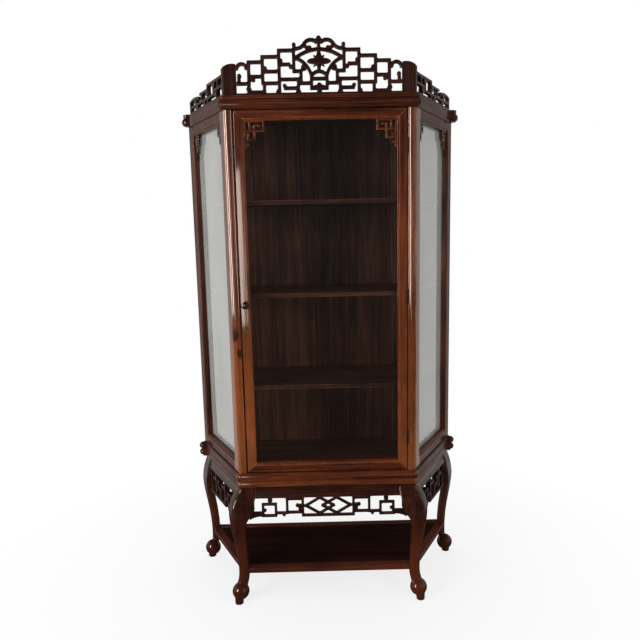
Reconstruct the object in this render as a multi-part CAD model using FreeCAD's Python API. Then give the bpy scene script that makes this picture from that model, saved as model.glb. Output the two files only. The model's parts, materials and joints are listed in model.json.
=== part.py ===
import FreeCAD, Part
import math
import os

# A glazed hardwood book cabinet of trapezoid plan on a cabriole stand, in millimetres.
# It is worked out with its front face at y = 0, the back behind it at +y, the middle at x = 0 and
# the floor at z = 0. Every piece is moved back by origin_depth when it is written, so that the
# finished model stands on the middle of its own bottom.

# Case
total_height = 1900.0
case_front_width = 611.0
case_back_width = 970.0
case_depth = 350.0
waist_bottom_height = 430.0
waist_height = 50.0
cornice_height = 42.0
gallery_height = 178.0
frame_thickness = 30.0
post_front_face = 27.5
post_side_face = 42.0
back_post_side_face = 48.0
back_post_back_face = 62.0
post_crown = 3.5
post_bead = 5.0
post_bead_rise = 2.5
post_fillet = 3.0

# Mouldings
cornice_reach = 18.0
cornice_step_share = 0.33
cornice_fillet_share = 0.67
cornice_fillet_height_share = 0.25
waist_reach = 17.0
waist_step_share = 0.32
waist_quirk_share = 0.02
waist_end_inset = 9.0
cornice_end_inset = 2.0
back_end_width = 974.0
side_board_reach = 6.0
side_board_bevel = 3.0
side_board_groove = 2.5
moulding_inner = 38.0
panel_thickness = 18.0
case_floor_drop = 2.0

# Canted side frames
side_top_rail = 36.0
side_bottom_rail = 40.0
side_glass_recess = 20.0
side_lip = 7.0
side_lip_step = 3.0
glass_thickness = 3.0
glass_clearance = 0.5

# Back
back_board_thickness = 12.0
back_board_rebate = 12.0
back_board_count = 5
back_board_gap = 0.6
back_board_lap = 8.0

# Shelves, with their heights as shares of the height inside the case
shelf_bottom_share = 0.2483
shelf_middle_share = 0.5117
shelf_top_share = 0.7675
shelf_thickness = 14.0
shelf_setback = 36.0
shelf_clearance = 1.5
support_depth = 14.0
support_height = 18.0

# Door
door_gap = 2.0
lock_gap = 4.5
hinge_gap = 3.0
door_frame_width = 30.5
door_thickness = 24.0
door_lip = 6.0
door_lip_step = 2.0
door_glass_recess = 12.0

# Hinges
hinge_length = 48.0
hinge_inset = 115.0
knuckle_radius = 3.5
knuckle_clearance = 0.4
knuckle_gap = 0.3
hinge_pin_radius = 1.5
hinge_pin_play = 0.05
hinge_axis_reach = 2.0
leaf_thickness = 1.2
leaf_depth = 22.0
leaf_setback = 2.5
screw_head_radius = 3.0
screw_head_height = 1.0
screw_radius = 1.5
screw_length = 14.0
screw_play = 0.1
screw_spacing = 28.0

# Knob, keyhole and lock
knob_height = 1061.0
knob_neck_share = 0.33
knob_reach = 24.0
knob_radius = 12.0
knob_neck_radius = 6.5
knob_base_radius = 9.0
knob_tenon_radius = 4.0
knob_tenon_length = 12.0
knob_tenon_play = 0.1
keyhole_height = 986.0
keyhole_radius = 2.6
keyhole_slot_width = 2.6
keyhole_slot_length = 8.0
lock_width = 21.0
lock_height = 60.0
lock_thickness = 12.0
lock_front_wall = 6.0
bolt_height = 12.0
bolt_thickness = 5.0
bolt_length = 16.5
bolt_play = 0.2
bolt_throw = 9.0
bolt_drop = 14.0

# Stand
stand_rail_height = 41.0
stand_rail_thickness = 26.0
stand_rail_setback = 4.0
stand_rail_flare = 4.0
stand_rail_flare_share = 0.3
stand_groove_height = 10.0
leg_block = 52.0
knee_reach = 26.0
knee_spread = 11.5
back_knee_share = 0.6
wing_depth = 20.0
foot_radius = 30.0
foot_centre_height = 42.0
foot_reach = 31.0
foot_side_shift = 10.0
back_foot_inset = 17.0
pad_radius = 15.0
pad_side_shift = 6.0
pad_reach = 8.0
leg_side_share = 0.62
leg_corner_share = 0.12

# Lower shelf between the legs
lower_shelf_height = 124.0
lower_shelf_thickness = 20.0
lower_shelf_rail = 30.0
lower_shelf_inset = 2.0
lower_shelf_panel_thickness = 11.0
lower_shelf_bead = 3.0

# Fretwork
apron_thickness = 11.0
apron_height = 74.0
side_apron_height = 100.0
side_apron_thickness = 20.0
apron_bar = 9.0
side_apron_bar = 10.5
apron_reach = 2.0
apron_strip = 4.0
gallery_thickness = 15.0
gallery_inset = 4.0
gallery_bar = 10.5
gallery_strip = 9.0
gallery_post_width = 42.0
gallery_post_height = 99.0
gallery_post_drop = 12.0
gallery_post_bend_share = 0.33
gallery_post_bend_drop_share = 0.125
gallery_post_inner_drop_share = 0.25
side_gallery_height = 86.0
side_gallery_bar = 9.0
side_gallery_stile = 17.0
curl_bite_share = 0.8
bracket_width = 65.0
bracket_height = 88.0
bracket_bar = 6.8
bracket_thickness = 7.0
bracket_setback = 3.5
side_bracket_width = 44.0
joint_overrun = 1.0

# Worked out from the sizes above
half_front = case_front_width / 2
half_back = case_back_width / 2
side_length = math.hypot(half_back - half_front, case_depth)
side_sine = (half_back - half_front) / side_length
side_cosine = case_depth / side_length
side_slope = side_sine / side_cosine
origin_depth = (case_depth - foot_reach) / 2
case_bottom_height = waist_bottom_height + waist_height
cornice_top_height = total_height - gallery_height
cornice_bottom_height = cornice_top_height - cornice_height
case_height = cornice_bottom_height - case_bottom_height
stand_rail_bottom_height = waist_bottom_height - stand_rail_height
half_opening = half_front - post_front_face
door_left = -half_opening + lock_gap
door_right = half_opening - hinge_gap
door_bottom = case_bottom_height + door_gap
door_top = cornice_bottom_height - door_gap
hinge_x = half_opening - hinge_gap / 2
hinge_y = -hinge_axis_reach
hinge_heights = (door_bottom + hinge_inset, (door_bottom + door_top) / 2, door_top - hinge_inset)
stile_middle = door_left + door_frame_width / 2
side_glass_low = case_bottom_height + side_bottom_rail
side_glass_high = cornice_bottom_height - side_top_rail
shelf_bottom_height = case_bottom_height + case_height * shelf_bottom_share
shelf_middle_height = case_bottom_height + case_height * shelf_middle_share
shelf_top_height = case_bottom_height + case_height * shelf_top_share
shelf_heights = (shelf_bottom_height, shelf_middle_height, shelf_top_height)


# Placing helpers

def plan(x, y):
    """A point of a plan outline."""
    return FreeCAD.Vector(x, y, 0)


def upright(x, z):
    """A point of an outline drawn on the front."""
    return FreeCAD.Vector(x, 0, z)


def section(out, z):
    """A point of a moulding's section, with out measured forwards."""
    return FreeCAD.Vector(0, -out, z)


def outline(place, *steps):
    """Closed face through the steps: a point gives a straight edge, a (middle, end) pair an arc."""
    edges = []
    last = steps[0]
    closing = () if steps[-1][-1] == steps[0] else (steps[0],)
    for step in steps[1:] + closing:
        if isinstance(step[0], tuple):
            middle, end = step
            edges.append(Part.Arc(place(*last), place(*middle), place(*end)).toShape())
        else:
            end = step
            edges.append(Part.LineSegment(place(*last), place(*end)).toShape())
        last = end
    return Part.Face(Part.Wire(edges))


def prism(low, high, *steps):
    """Upright solid over a plan outline."""
    solid = outline(plan, *steps).extrude(FreeCAD.Vector(0, 0, high - low))
    solid.translate(FreeCAD.Vector(0, 0, low))
    return solid


def slab(front, back, *steps):
    """Solid from y = front to y = back over an outline drawn on the front."""
    solid = outline(upright, *steps).extrude(FreeCAD.Vector(0, back - front, 0))
    solid.translate(FreeCAD.Vector(0, front, 0))
    return solid


def block(low, high):
    """Box between two corners."""
    size = [b - a for a, b in zip(low, high)]
    return Part.makeBox(*size, FreeCAD.Vector(*low))


def round_bar(radius, start, direction, length):
    """Round bar from a point along a direction."""
    return Part.makeCylinder(radius, length, FreeCAD.Vector(*start), FreeCAD.Vector(*direction))


def joined(shapes):
    """One clean solid made from overlapping ones."""
    return shapes[0].multiFuse(list(shapes[1:])).removeSplitter()


def half_width(y, out=0.0):
    """Half the plan's width at a depth, on a line moved outwards from the canted face."""
    return half_front + y * side_slope + out / side_cosine


def front_corner(out, side=-1):
    """Front corner of the case outline moved outwards."""
    return (side * half_width(-out, out), -out)


def left_point(along, inward):
    """Plan point on the left canted side: along from the front corner, and inwards from its face."""
    x = -half_front - along * side_sine + inward * side_cosine
    return (x, along * side_cosine + inward * side_sine)


def trapezoid(low, high, front, back, out):
    """Board over the plan from a front line to a back line, its sides moved outwards."""
    wide = half_width(back, out)
    narrow = half_width(front, out)
    return prism(low, high, (-narrow, front), (narrow, front), (wide, back), (-wide, back))


def place_left(shape):
    """Take a shape from the flat side frame (back corner at x = 0, outside at -y) to the left side."""
    shape = shape.copy()
    turn = -math.degrees(math.atan2(side_cosine, side_sine))
    shape.rotate(FreeCAD.Vector(), FreeCAD.Vector(0, 0, 1), turn)
    shape.translate(FreeCAD.Vector(-half_back, case_depth, 0))
    return shape


def mirrored(shape):
    """The same piece on the other side."""
    return shape.mirror(FreeCAD.Vector(), FreeCAD.Vector(1, 0, 0))


def front_zone(low, high, reach, inner):
    """Plan zone of the front pieces, cut to the mitres at both corners."""
    return prism(low, high, front_corner(reach), front_corner(reach, 1),
                 front_corner(-inner, 1), front_corner(-inner))


def turned_end(face, x, y):
    """Round end of a moulding: the front part of its section turned about an upright at (x, y)."""
    box = face.BoundBox
    front = Part.makeBox(joint_overrun, -box.YMin, box.ZLength, FreeCAD.Vector(0, box.YMin, box.ZMin))
    half = face.common(front)
    solid = half.revolve(FreeCAD.Vector(), FreeCAD.Vector(0, 0, 1), 360)
    solid.translate(FreeCAD.Vector(x, y, 0))
    return solid


def turned_moulding(face, half_run, y):
    """Section run across the front at y, with a turned end on either side."""
    solid = face.extrude(FreeCAD.Vector(2 * half_run, 0, 0))
    solid.translate(FreeCAD.Vector(-half_run, y, 0))
    return joined([solid, turned_end(face, -half_run, y), turned_end(face, half_run, y)])


def back_moulding(face, reach):
    """Plain rail behind the case whose turned ends match the moulding in front."""
    box = face.BoundBox
    half_run = back_end_width / 2
    y = case_depth - reach
    rail = block((-half_run, case_depth - moulding_inner, box.ZMin), (half_run, case_depth, box.ZMax))
    return joined([rail, turned_end(face, -half_run, y), turned_end(face, half_run, y)])


def left_zone(low, high, reach, inner):
    """Plan zone of the left pieces, mitred in front and square with the back."""
    return prism(low, high, front_corner(reach), front_corner(-inner),
                 (-half_width(case_depth, -inner), case_depth),
                 (-half_width(case_depth, reach), case_depth))


def front_run(face, low, high, reach, inner):
    """Section run along the front between its mitres."""
    run = case_front_width + 2 * reach
    solid = face.extrude(FreeCAD.Vector(run, 0, 0))
    solid.translate(FreeCAD.Vector(-run / 2, 0, 0))
    return solid.common(front_zone(low, high, reach, inner))


def side_board(face, front, back):
    """Section run along the left canted side, between the rails in front and behind."""
    box = face.BoundBox
    run = side_length + 2 * moulding_inner
    solid = face.extrude(FreeCAD.Vector(run, 0, 0))
    solid.translate(FreeCAD.Vector(-moulding_inner, 0, 0))
    zone = left_zone(box.ZMin, box.ZMax, side_board_reach, moulding_inner)
    return largest(place_left(solid).common(zone).cut(front).cut(back))


# Fretwork helpers

def bar(start, end, width, thickness):
    """Flat bar between two places on the front, as long again as half its width at each end."""
    run = (end[0] - start[0], end[1] - start[1])
    length = math.hypot(*run)
    along = (run[0] / length * width / 2, run[1] / length * width / 2)
    across = (-along[1], along[0])
    first = (start[0] - along[0], start[1] - along[1])
    last = (end[0] + along[0], end[1] + along[1])
    return slab(0, thickness, (first[0] + across[0], first[1] + across[1]),
                (last[0] + across[0], last[1] + across[1]),
                (last[0] - across[0], last[1] - across[1]),
                (first[0] - across[0], first[1] - across[1]))


def bud(centre, radius, thickness, bars):
    """Round curl in a fret, drawn in until it bites into the nearest bar."""
    place = upright(*centre)
    gap, pairs, _ = Part.Vertex(place).distToShape(bars)
    reach = radius * curl_bite_share
    if gap > reach:
        near = pairs[0][1]
        place = near + (place - near) * (reach / gap)
    return round_bar(radius, tuple(place), (0, 1, 0), thickness)


def ribbon(start, middle, end, width, thickness):
    """Curved bar along the arc through three places."""
    arc = Part.Arc(upright(*start), upright(*middle), upright(*end)).toShape().Curve
    centre = arc.Center
    places = []
    for place in (start, middle, end):
        spoke = upright(*place) - centre
        spoke.normalize()
        inner = centre + spoke * (arc.Radius - width / 2)
        outer = centre + spoke * (arc.Radius + width / 2)
        places.append(((inner.x, inner.z), (outer.x, outer.z)))
    (in_a, out_a), (in_m, out_m), (in_b, out_b) = places
    return slab(0, thickness, out_a, (out_m, out_b), in_b, (in_m, in_a))


def leaf(start, end, width, thickness):
    """Pointed leaf between two places."""
    middle = ((start[0] + end[0]) / 2, (start[1] + end[1]) / 2)
    length = math.hypot(end[0] - start[0], end[1] - start[1])
    across = (-(end[1] - start[1]) / length * width / 2, (end[0] - start[0]) / length * width / 2)
    above = (middle[0] + across[0], middle[1] + across[1])
    below = (middle[0] - across[0], middle[1] - across[1])
    return slab(0, thickness, start, (above, end), (below, start))


def scaled(width, height, shares):
    """A place given as shares of a width and a height."""
    return (shares[0] * width, shares[1] * height)


def fret(width, height, bar_width, thickness, bars, ribbons=(), buds=(), leaves=()):
    """Solids of a fret whose places are shares of its width and height."""
    solids = []
    for start, end in bars:
        solids.append(bar(scaled(width, height, start), scaled(width, height, end), bar_width, thickness))
    for places in ribbons:
        points = [scaled(width, height, place) for place in places]
        solids.append(ribbon(*points, bar_width, thickness))
    for start, end, width_share in leaves:
        solids.append(leaf(scaled(width, height, start), scaled(width, height, end),
                           width_share * bar_width, thickness))
    lattice = Part.makeCompound(solids)
    for centre, radius_share in buds:
        solids.append(bud(scaled(width, height, centre), radius_share * bar_width, thickness, lattice))
    return solids


def both_sides(solids):
    """A half pattern and its mirror image."""
    return solids + [mirrored(solid) for solid in solids]


# Stand

# Shares of the leg's height, of knee_reach, of knee_spread, and of leg_block for the leg and its wing
front_leg_station_shares = (
    (1.00, 0.00, 0.00, 1.00, 1.10),
    (0.955, 0.08, 0.10, 1.00, 1.16),
    (0.91, 0.48, 0.45, 1.00, 1.30),
    (0.85, 0.86, 0.85, 0.98, 1.42),
    (0.795, 1.00, 1.00, 0.93, 1.44),
    (0.755, 1.02, 1.02, 0.86, 1.22),
    (0.715, 0.98, 1.02, 0.80, 0.98),
    (0.66, 0.86, 1.02, 0.76, 0.84),
    (0.58, 0.62, 1.00, 0.71, 0.74),
    (0.46, 0.32, 0.90, 0.63, 0.65),
    (0.34, 0.12, 0.70, 0.57, 0.58),
    (0.25, 0.06, 0.63, 0.55, 0.56),
    (0.195, 0.14, 0.67, 0.56, 0.57),
    (0.155, 0.30, 0.83, 0.57, 0.58),
    (0.118, 0.50, 0.95, 0.56, 0.57),
)
# Shares of the leg's height, of knee_reach and of leg_block
back_leg_station_shares = (
    (1.00, 0.00, 1.00),
    (0.955, 0.06, 1.00),
    (0.91, 0.44, 1.00),
    (0.84, 0.84, 1.00),
    (0.765, 1.00, 0.92),
    (0.70, 0.90, 0.83),
    (0.60, 0.54, 0.77),
    (0.46, -0.06, 0.73),
    (0.34, -0.40, 0.70),
    (0.25, -0.52, 0.67),
    (0.195, -0.52, 0.63),
    (0.155, -0.48, 0.59),
    (0.098, -0.42, 0.52),
)


def eased(points, share):
    """Plan outline with each corner cut back by a share of its shorter edge."""
    steps = []
    count = len(points)
    for index, point in enumerate(points):
        before = points[index - 1]
        after = points[(index + 1) % count]
        lengths = [math.hypot(point[0] - other[0], point[1] - other[1]) for other in (before, after)]
        cut = share * min(lengths)
        for other, length in ((before, lengths[0]), (after, lengths[1])):
            steps.append((point[0] + (other[0] - point[0]) * cut / length,
                          point[1] + (other[1] - point[1]) * cut / length))
    return steps


def front_leg_section(height, reach, spread, width, wing):
    """Section of the left front leg: a square with its outer corner canted and a wing along the apron."""
    x, y = front_corner(reach)
    x -= spread
    side = width * leg_side_share
    turned = (x - side * side_sine, y + side * side_cosine)
    points = [(x, y), (x + wing, y), (x + wing, y + wing_depth), (x + width, y + width),
              (turned[0], y + width), turned]
    return ring_at(height, eased(points, leg_corner_share))


def back_leg_section(height, reach, width):
    """Section of the left back leg: square with the back and canted outside."""
    x = -half_width(case_depth, reach * back_knee_share)
    front = case_depth - width
    points = [(x, case_depth), (x + width * side_slope, front), (x + width, front), (x + width, case_depth)]
    return ring_at(height, eased(points, leg_corner_share))


def ring_at(height, points):
    """Closed wire through plan points at a height."""
    places = [FreeCAD.Vector(x, y, height) for x, y in points]
    return Part.makePolygon(places + places[:1])


def foot_ball(x, y, pad_x, pad_y):
    """Ball foot on a small disc pad under its outer side."""
    ball = Part.makeSphere(foot_radius, FreeCAD.Vector(x, y, foot_centre_height))
    pad = round_bar(pad_radius, (pad_x, pad_y, 0), (0, 0, 1), foot_centre_height)
    return [ball, pad]


def front_leg():
    """Left front cabriole leg in one piece with its foot."""
    wires = []
    for height_share, reach_share, spread_share, width_share, wing_share in front_leg_station_shares:
        wires.append(front_leg_section(waist_bottom_height * height_share, knee_reach * reach_share,
                                       knee_spread * spread_share, leg_block * width_share,
                                       leg_block * wing_share))
    x = -half_front - foot_side_shift
    y = foot_radius - foot_reach
    shaft = Part.makeLoft(wires, True, False)
    return joined([shaft] + foot_ball(x, y, x - pad_side_shift, y - pad_reach))


def back_leg():
    """Left back leg, bent to the side only."""
    wires = []
    for height_share, reach_share, width_share in back_leg_station_shares:
        wires.append(back_leg_section(waist_bottom_height * height_share, knee_reach * reach_share,
                                      leg_block * width_share))
    x = -half_back + back_foot_inset
    y = case_depth - foot_radius
    shaft = Part.makeLoft(wires, True, False)
    return joined([shaft] + foot_ball(x, y, x - pad_side_shift, y + pad_reach))


def stand_rail_face():
    """Section of a stand rail: a groove under the waist moulding, then a flare to the apron."""
    top = waist_bottom_height
    groove = top - stand_groove_height
    low = stand_rail_bottom_height
    back = -stand_rail_thickness
    rise = stand_rail_flare_share * (stand_rail_flare + stand_rail_setback)
    middle = (rise - stand_rail_setback, (groove + low) / 2)
    return outline(section, (back, low), (back, top), (-stand_rail_setback, top),
                   (-stand_rail_setback, groove), (middle, (stand_rail_flare, low)))


def front_stand_rail(legs):
    solid = stand_rail_face().extrude(FreeCAD.Vector(case_front_width, 0, 0))
    solid.translate(FreeCAD.Vector(-half_front, 0, 0))
    return between(solid, legs[0])


def between(solid, left_leg):
    """The part of a rail that lies between a leg and its mirror image."""
    solid = solid.cut(left_leg).cut(mirrored(left_leg))
    return largest(solid)


def left_stand_rail(legs):
    solid = stand_rail_face().extrude(FreeCAD.Vector(side_length, 0, 0))
    solid = place_left(solid)
    return largest(solid.cut(legs[0]).cut(legs[1]))


def largest(shape):
    """The largest solid of a cut shape."""
    return max(shape.Solids, key=lambda solid: solid.Volume)


def back_stand_rail(legs):
    rail = block((-half_back, case_depth - stand_rail_thickness, stand_rail_bottom_height),
                 (half_back, case_depth, waist_bottom_height))
    return between(rail, legs[1])


# Places as shares of the half span between the legs (0 at the middle) and of the apron's height
apron_bar_shares = (
    ((1.02, -0.80), (0.896, -0.84)),
    ((0.896, -0.36), (0.896, -0.925)),
    ((0.896, -0.36), (0.719, -0.36)),
    ((0.719, -0.36), (0.719, -0.925)),
    ((0.896, -0.925), (0.719, -0.925)),
    ((0.719, -0.80), (0.5635, -0.80)),
    ((0.5635, -0.115), (0.5635, -0.78)),
    ((0.5635, -0.115), (0.348, -0.115)),
    ((0.5635, -0.78), (0.392, -0.78)),
    ((0.392, -0.444), (0.392, -0.78)),
    ((0.348, -0.115), (0.348, -0.94)),
    ((0.348, -0.94), (0.0, -0.94)),
    ((0.305, -0.47), (0.115, -0.08)),
    ((0.305, -0.47), (0.115, -0.86)),
    ((-0.075, -0.47), (0.115, -0.08)),
    ((-0.075, -0.47), (0.115, -0.86)),
)
apron_bud_shares = (
    ((0.796, -0.165), 0.95),
    ((0.867, -0.66), 0.60),
    ((0.607, -0.90), 0.60),
    ((0.424, -0.444), 0.70),
)
apron_leaf_shares = (
    ((0.796, -0.05), (0.796, -0.36), 0.70),
)
apron_spandrel_shares = ((0.896, -0.96), (1.00, -0.99), (1.08, -1.12), (1.10, -0.72), (0.92, -0.72))


def apron_front(legs):
    """Pierced apron between the front legs, hung from a strip under the rail."""
    span = half_front - leg_block
    solids = fret(span, apron_height, apron_bar, apron_thickness, apron_bar_shares, (),
                  apron_bud_shares, apron_leaf_shares)
    low, curve, end, high, back = [scaled(span, apron_height, place) for place in apron_spandrel_shares]
    solids.append(slab(0, apron_thickness, low, (curve, end), high, back))
    strip = block((-span, 0, -apron_strip), (span, apron_thickness, 0))
    whole = joined([strip] + both_sides(solids))
    keep = block((-half_front, 0, -2 * apron_height), (half_front, apron_thickness, 0))
    whole = whole.common(keep)
    whole.translate(FreeCAD.Vector(0, -apron_reach, stand_rail_bottom_height))
    return between(whole, legs[0])


# Places as shares of the side apron's span, from its front end to its back end, and its height
side_apron_bar_shares = (
    ((0.00, -0.60), (0.10, -0.60)),
    ((0.10, -0.06), (0.10, -0.80)),
    ((0.10, -0.80), (0.30, -0.80)),
    ((0.30, -0.34), (0.30, -0.80)),
    ((0.20, -0.34), (0.30, -0.34)),
    ((0.20, -0.34), (0.20, -0.56)),
    ((0.30, -0.60), (0.40, -0.60)),
    ((0.40, -0.06), (0.40, -0.93)),
    ((0.40, -0.93), (1.02, -0.93)),
    ((0.40, -0.30), (0.50, -0.30)),
    ((0.56, -0.52), (0.56, -0.93)),
    ((0.56, -0.52), (0.64, -0.52)),
    ((0.64, -0.30), (0.64, -0.52)),
    ((0.72, -0.06), (0.72, -0.72)),
    ((0.72, -0.30), (0.80, -0.30)),
    ((0.86, -0.50), (0.86, -0.93)),
    ((0.86, -0.50), (1.02, -0.50)),
    ((0.90, -0.06), (0.90, -0.28)),
)
side_apron_bud_shares = (
    ((0.20, -0.56), 0.85),
    ((0.28, -0.91), 0.95),
    ((0.50, -0.30), 0.80),
    ((0.425, -0.76), 0.75),
    ((0.64, -0.28), 0.80),
    ((0.72, -0.72), 0.80),
    ((0.80, -0.30), 0.75),
    ((0.90, -0.28), 0.80),
    ((0.885, -0.72), 0.75),
)


def apron_left(legs):
    """Pierced apron of the left canted side, ended on the two legs."""
    front_end = side_length - leg_block * leg_side_share
    back_end = leg_block * leg_side_share
    span = front_end - back_end
    solids = fret(-span, side_apron_height, side_apron_bar, side_apron_thickness,
                  side_apron_bar_shares, (), side_apron_bud_shares)
    strip = block((-side_length, 0, -apron_strip), (leg_block, side_apron_thickness, 0))
    whole = joined([strip] + solids)
    whole.translate(FreeCAD.Vector(front_end, -apron_reach, stand_rail_bottom_height))
    whole = place_left(whole)
    return largest(whole.cut(legs[0]).cut(legs[1]))


# Lower shelf

def lower_shelf_section():
    """Section of a shelf rail with a small bead along its top edge."""
    low = lower_shelf_height - lower_shelf_thickness
    high = lower_shelf_height
    out = -lower_shelf_inset
    bead = lower_shelf_bead
    return outline(section, (out - lower_shelf_rail, low), (out - lower_shelf_rail, high), (out - bead, high),
                   ((out, high - bead), (out - bead, high - 2 * bead)), (out - bead, low))


def lower_shelf_front_rail(legs):
    reach = -lower_shelf_inset
    inner = lower_shelf_inset + lower_shelf_rail
    low = lower_shelf_height - lower_shelf_thickness
    rail = front_run(lower_shelf_section(), low, lower_shelf_height, reach, inner)
    return between(rail, legs[0])


def lower_shelf_left_rail(legs):
    reach = -lower_shelf_inset
    inner = lower_shelf_inset + lower_shelf_rail
    low = lower_shelf_height - lower_shelf_thickness
    face = lower_shelf_section()
    rail = face.extrude(FreeCAD.Vector(side_length, 0, 0))
    rail = place_left(rail)
    rail = rail.common(lower_shelf_side_zone(low, reach, inner))
    return largest(rail.cut(legs[0]).cut(legs[1]))


def lower_shelf_side_zone(low, reach, inner):
    """Plan zone of the left shelf rail, ended on the back rail."""
    back = case_depth - lower_shelf_inset - lower_shelf_rail
    return prism(low, lower_shelf_height, front_corner(reach), front_corner(-inner),
                 (-half_width(back, -inner), back), (-half_width(back, reach), back))


def lower_shelf_back_rail(legs):
    back = case_depth - lower_shelf_inset
    front = back - lower_shelf_rail
    low = lower_shelf_height - lower_shelf_thickness
    rail = trapezoid(low, lower_shelf_height, front, back, -lower_shelf_inset)
    return between(rail, legs[1])


def lower_shelf_panel():
    """Board let in between the shelf rails."""
    inner = lower_shelf_inset + lower_shelf_rail
    back = case_depth - inner
    high = lower_shelf_height - lower_shelf_bead / 2
    narrow = front_corner(-inner, 1)
    wide = (half_width(back, -inner), back)
    return prism(high - lower_shelf_panel_thickness, high, (-narrow[0], narrow[1]), narrow, wide,
                 (-wide[0], wide[1]))


# Waist moulding, case floor, case top and cornice

def waist_face():
    """Two rolls, one over the other."""
    low = waist_bottom_height
    high = case_bottom_height
    middle = (low + high) / 2
    step = waist_reach * waist_step_share
    quarter = waist_height / 4
    quirk = waist_height * waist_quirk_share
    return outline(section, (-moulding_inner, low), (-moulding_inner, high), (step, high),
                   ((waist_reach, middle + quarter), (step, middle + quirk)), (step, middle - quirk),
                   ((waist_reach, middle - quarter), (step, low)))


def waist_side_face():
    """Flat board with an eased top edge and a groove along its middle."""
    low = waist_bottom_height
    high = case_bottom_height
    middle = (low + high) / 2
    reach = side_board_reach
    groove = side_board_groove
    bevel = side_board_bevel
    return outline(section, (-moulding_inner, low), (-moulding_inner, high), (reach - bevel, high),
                   (reach, high - bevel), (reach, middle + groove), (reach - groove, middle),
                   (reach, middle - groove), (reach, low))


def cornice_side_face():
    """Flat board with eased long edges."""
    low = cornice_bottom_height
    high = cornice_top_height
    reach = side_board_reach
    bevel = side_board_bevel
    return outline(section, (-moulding_inner, low), (-moulding_inner, high), (reach - bevel, high),
                   (reach, high - bevel), (reach, low + bevel), (reach - bevel, low))


def cornice_face():
    """Thick half-round nose under a square fillet."""
    low = cornice_bottom_height
    high = cornice_top_height
    fillet_low = high - cornice_height * cornice_fillet_height_share
    step = cornice_reach * cornice_step_share
    fillet = cornice_reach * cornice_fillet_share
    middle = (low + fillet_low) / 2
    return outline(section, (-moulding_inner, low), (-moulding_inner, high), (fillet, high),
                   (fillet, fillet_low), (step, fillet_low), ((cornice_reach, middle), (step, low)))


def case_panel(low, high):
    """Board inside the frame of mouldings."""
    front = moulding_inner
    back = case_depth - moulding_inner
    narrow = front_corner(-moulding_inner, 1)
    wide = (half_width(back, -moulding_inner), back)
    return prism(low, high, (-narrow[0], front), (narrow[0], front), wide, (-wide[0], wide[1]))


# Case posts

def front_post():
    """Left front post: crowned on the front with a bead beside the door, rebated for the side glass."""
    face_end = -half_opening
    bead_start = face_end - post_bead
    fillet_end = -half_front + post_fillet
    inner = left_point(post_side_face, frame_thickness)
    outer = left_point(post_side_face, 0)
    crown_middle = ((fillet_end + bead_start) / 2, -post_crown)
    bead_middle = (face_end - post_bead / 2, -post_bead_rise)
    post = prism(case_bottom_height, cornice_bottom_height, (-half_front, 0), (fillet_end, 0),
                 (crown_middle, (bead_start, 0)), (bead_middle, (face_end, 0)),
                 (face_end, frame_thickness), inner, outer)
    return post.cut(side_rebate()).cut(side_lip_cut())


def post_front_left():
    """Lock post with the mortise for the bolt."""
    return front_post().cut(bolt_mortise())


def post_front_right():
    """Hinge post with its pockets and screw holes."""
    return mirrored(front_post()).cut(hinge_pockets()).cut(screw_holes(1))


def post_back_left():
    """Back post: canted outside, rebated for the side glass and the back boards."""
    start = side_length - back_post_side_face
    post = prism(case_bottom_height, cornice_bottom_height, left_point(side_length, 0), left_point(start, 0),
                 left_point(start, frame_thickness), (-half_back + back_post_back_face, case_depth))
    boards = block((-back_opening_half(), case_depth - back_board_thickness, case_bottom_height),
                   (0, case_depth, cornice_bottom_height))
    return post.cut(side_rebate()).cut(side_lip_cut()).cut(boards)


def back_opening_half():
    """Half the width of the boarded back, into the posts' rebates."""
    return half_back - back_post_back_face + back_board_rebate


def side_rebate():
    """Space behind the side frame's lip, for glass and beads."""
    solid = block((back_post_side_face - side_lip, side_glass_recess, side_glass_low - side_lip),
                  (side_length - post_side_face + side_lip, frame_thickness + joint_overrun,
                   side_glass_high + side_lip))
    return place_left(solid)


def side_lip_cut():
    """Step in the face of the side frame, along the glass."""
    solid = block((back_post_side_face - side_lip, -joint_overrun, side_glass_low - side_lip),
                  (side_length - post_side_face + side_lip, side_lip_step, side_glass_high + side_lip))
    return place_left(solid)


def side_rail(low, high):
    """Rail between the posts of the left side frame."""
    rail = block((back_post_side_face, 0, low), (side_length - post_side_face, frame_thickness, high))
    return place_left(rail).cut(side_rebate()).cut(side_lip_cut())


def side_glass():
    edge = side_lip - glass_clearance
    pane = block((back_post_side_face - edge, side_glass_recess, side_glass_low - edge),
                 (side_length - post_side_face + edge, side_glass_recess + glass_thickness,
                  side_glass_high + edge))
    return place_left(pane)


def bead_ring(left, right, low, high, lip, front, back):
    """Four strips that hold a pane in its rebate."""
    strips = [block((left - lip, front, low - lip), (left, back, high + lip)),
              block((right, front, low - lip), (right + lip, back, high + lip)),
              block((left, front, low - lip), (right, back, low)),
              block((left, front, high), (right, back, high + lip))]
    return strips


def side_beads():
    """Glazing beads inside both side panes."""
    strips = bead_ring(back_post_side_face, side_length - post_side_face, side_glass_low, side_glass_high,
                       side_lip, side_glass_recess + glass_thickness, frame_thickness)
    left = [place_left(strip) for strip in strips]
    return Part.makeCompound(left + [mirrored(strip) for strip in left])


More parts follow.
